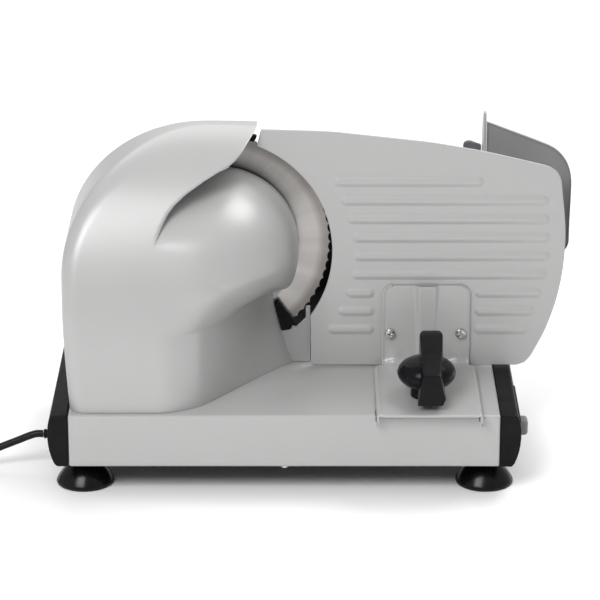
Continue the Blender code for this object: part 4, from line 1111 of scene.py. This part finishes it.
def make_cord():
    coil = [coil_point(COIL_TURNS * step / 85) for step in range(86)]
    points = [to_frame(point) for point in CORD_ROUTE + tuple(coil) + TAIL_ROUTE]
    curve = bpy.data.curves.new("mains_cord", "CURVE")
    curve.dimensions = "3D"
    curve.bevel_depth = CORD_DIAMETER / 2000
    curve.bevel_resolution = 6
    curve.resolution_u = 5
    curve.use_fill_caps = True
    curve.materials.append(SHEATH)
    line = curve.splines.new("BEZIER")
    line.bezier_points.add(len(points) - 1)
    for knot, point in zip(line.bezier_points, points):
        knot.co = point
        knot.handle_left_type = knot.handle_right_type = "AUTO"
    piece = add_object("mains_cord", curve)
    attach(piece, "base")
    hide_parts("power_cord", "cord_coil", "cord_tail")
    length = sum((after - before).length for before, after in zip(points, points[1:]))
    return piece, points[0], length


def make_relief():
    """Tapered strain relief with shallow grooves."""
    profile = [(0.0, -187.0), (5.4, -187.0), (5.6, -187.6), (5.4, -189.6)]
    groove = ((0.0, 0.0), (0.05, 1.5), (0.75, 1.75), (0.8, 2.3))
    for ring in range(6):
        start = -190.2 - 2.7 * ring
        radius = 5.2 - 0.16 * ring
        profile += [(radius - sink, start - along) for sink, along in groove]
    profile += [(4.2, -206.6), (4.0, -208.0), (3.6, RELIEF_END), (0.0, RELIEF_END)]
    shape = Shape().lathe(profile, (0.0, CORD_Y, CORD_Z), "X", 48)
    return make_piece("cord_relief", shape, "base", "black_plastic", ("strain_relief",), 40.0)


def make_plug():
    """Flat plug body, rounded all over, with a waist for the fingers."""
    half = [(5.0, 56.0), (5.6, 61.0), (6.8, 66.0), (10.5, 69.0), (14.6, 72.5), (15.2, 76.0),
            (14.6, 80.0), (15.0, 84.0), (16.6, 88.0), (16.8, 92.0)]
    outline = [(PLUG_X + x, y) for x, y in half] + [(PLUG_X - x, y) for x, y in half[::-1]]
    shape = Shape().slab(outline, PLUG_Z - 6.9, PLUG_Z + 6.9, "XY")
    piece = make_piece("mains_plug", shape, "base", "black_plastic", ("plug",), 30.0, 0.0)
    soften(piece, 2.6, 5, 25.0)
    return piece


def make_pusher():
    """Clear food pusher: a plate with one high rounded corner that runs on the rod."""
    outline = [(98.0, 100.0), (171.8, 100.0), (171.8, 256.6), (161.0, 260.6), (156.0, 258.5),
               (156.0, 222.0), (105.0, 222.0), (98.0, 214.0)]
    shape = Shape().slab(rounded(outline, 5.0, 6, (3, 4, 6, 7)), 40.0, 44.0)
    sleeve = [(3.4, 44.0), (7.0, 44.0), (7.0, 69.6), (6.5, 70.0), (3.4, 70.0), (3.4, 44.0)]
    shape.lathe(sleeve, (164.0, 0.0, 160.0), "Y", 48)
    piece = make_piece("clear_pusher", shape, "pusher", "smoky_clear_plastic", ("food_pusher",), 30.0, 0.0)
    soften(piece, 0.7, 3, 40.0)


CAD_EDGES = {
    "carriage_table": 1.4, "carriage_slider": 1.6, "rail_mount_left": 1.2,
    "rail_mount_right": 1.2, "pusher_handle": 0.8,
}
for node, edge_width in CAD_EDGES.items():
    soften(frame["nodes"][node], edge_width, 3, 35.0)
make_guide_plate()
make_bracket()
for side, screw_x in (("left", 92.1), ("right", 153.4)):
    screw_place = (screw_x, -UPRIGHT_DEPTH, SCREW_Z)
    make_pan_screw(f"cross_screw_{side}", screw_place, f"bracket_screw_{side}")
make_knob()
make_cap("left", -1)
make_cap("right", 1)
make_button()
make_feet()
make_hand_guard()
make_fence()
make_pusher()
cord, cord_exit, cord_length = make_cord()
relief = make_relief()
plug = make_plug()


# ---- floor, light and finish -------------------------------------------------------------
TENT, TENT_OPENING = 0.5, 0.35   # brightness of the light tent, and of its opening on the camera's side


def make_studio():
    """Pale floor in a light tent that is darker on the side it is open."""
    floor_mesh = bpy.data.meshes.new("floor")
    size = 9.0
    corners = [(-size, -size, 0), (size, -size, 0), (size, size, 0), (-size, size, 0)]
    floor_mesh.from_pydata(corners, [], [(0, 1, 2, 3)])
    floor = add_object("floor", floor_mesh)
    look, tree, shader = new_material("pale_floor", (0.96, 0.96, 0.96), 0.6)
    mottle = tint(tree, noise(tree, 3.0), (0.955, 0.955, 0.955), (0.965, 0.965, 0.965))
    tree.links.new(mottle, shader.inputs["Base Color"])
    floor_mesh.materials.append(look)
    world = bpy.data.worlds.new("studio")
    world.use_nodes = True
    tree = world.node_tree
    tent = tree.nodes["Background"]
    tent.inputs["Color"].default_value = (1.0, 1.0, 1.0, 1.0)
    direction = tree.nodes.new("ShaderNodeTexCoord").outputs["Generated"]
    facing = vector_math(tree, "DOT_PRODUCT", direction, (0.0, -0.97, 0.24))["Value"]
    opening = spread(tree, facing, TENT, TENT_OPENING, 0.60, 0.97)
    tree.links.new(opening, tent.inputs["Strength"])
    bpy.context.scene.world = world
    lamps = (
        ("key_softbox", (-0.8, -1.6, 1.7), 1.1, 38.0, (0.0, -0.02, 0.12)),
        ("top_softbox", (0.84, 0.56, 1.75), 0.9, 16.0, (-0.05, -0.06, 0.22)),
        ("back_softbox", (0.0, 3.4, 2.6), 4.0, 90.0, (0.0, 3.6, 0.0)),
    )
    for name, place, side, power, target in lamps:
        light = bpy.data.lights.new(name, "AREA")
        light.shape = "SQUARE"
        light.size = side
        light.energy = power
        lamp = add_object(name, light)
        lamp.location = place
        lamp.rotation_euler = (Vector(target) - Vector(place)).to_track_quat("-Z", "Y").to_euler()
    bpy.context.scene.view_settings.view_transform = "Standard"


make_studio()
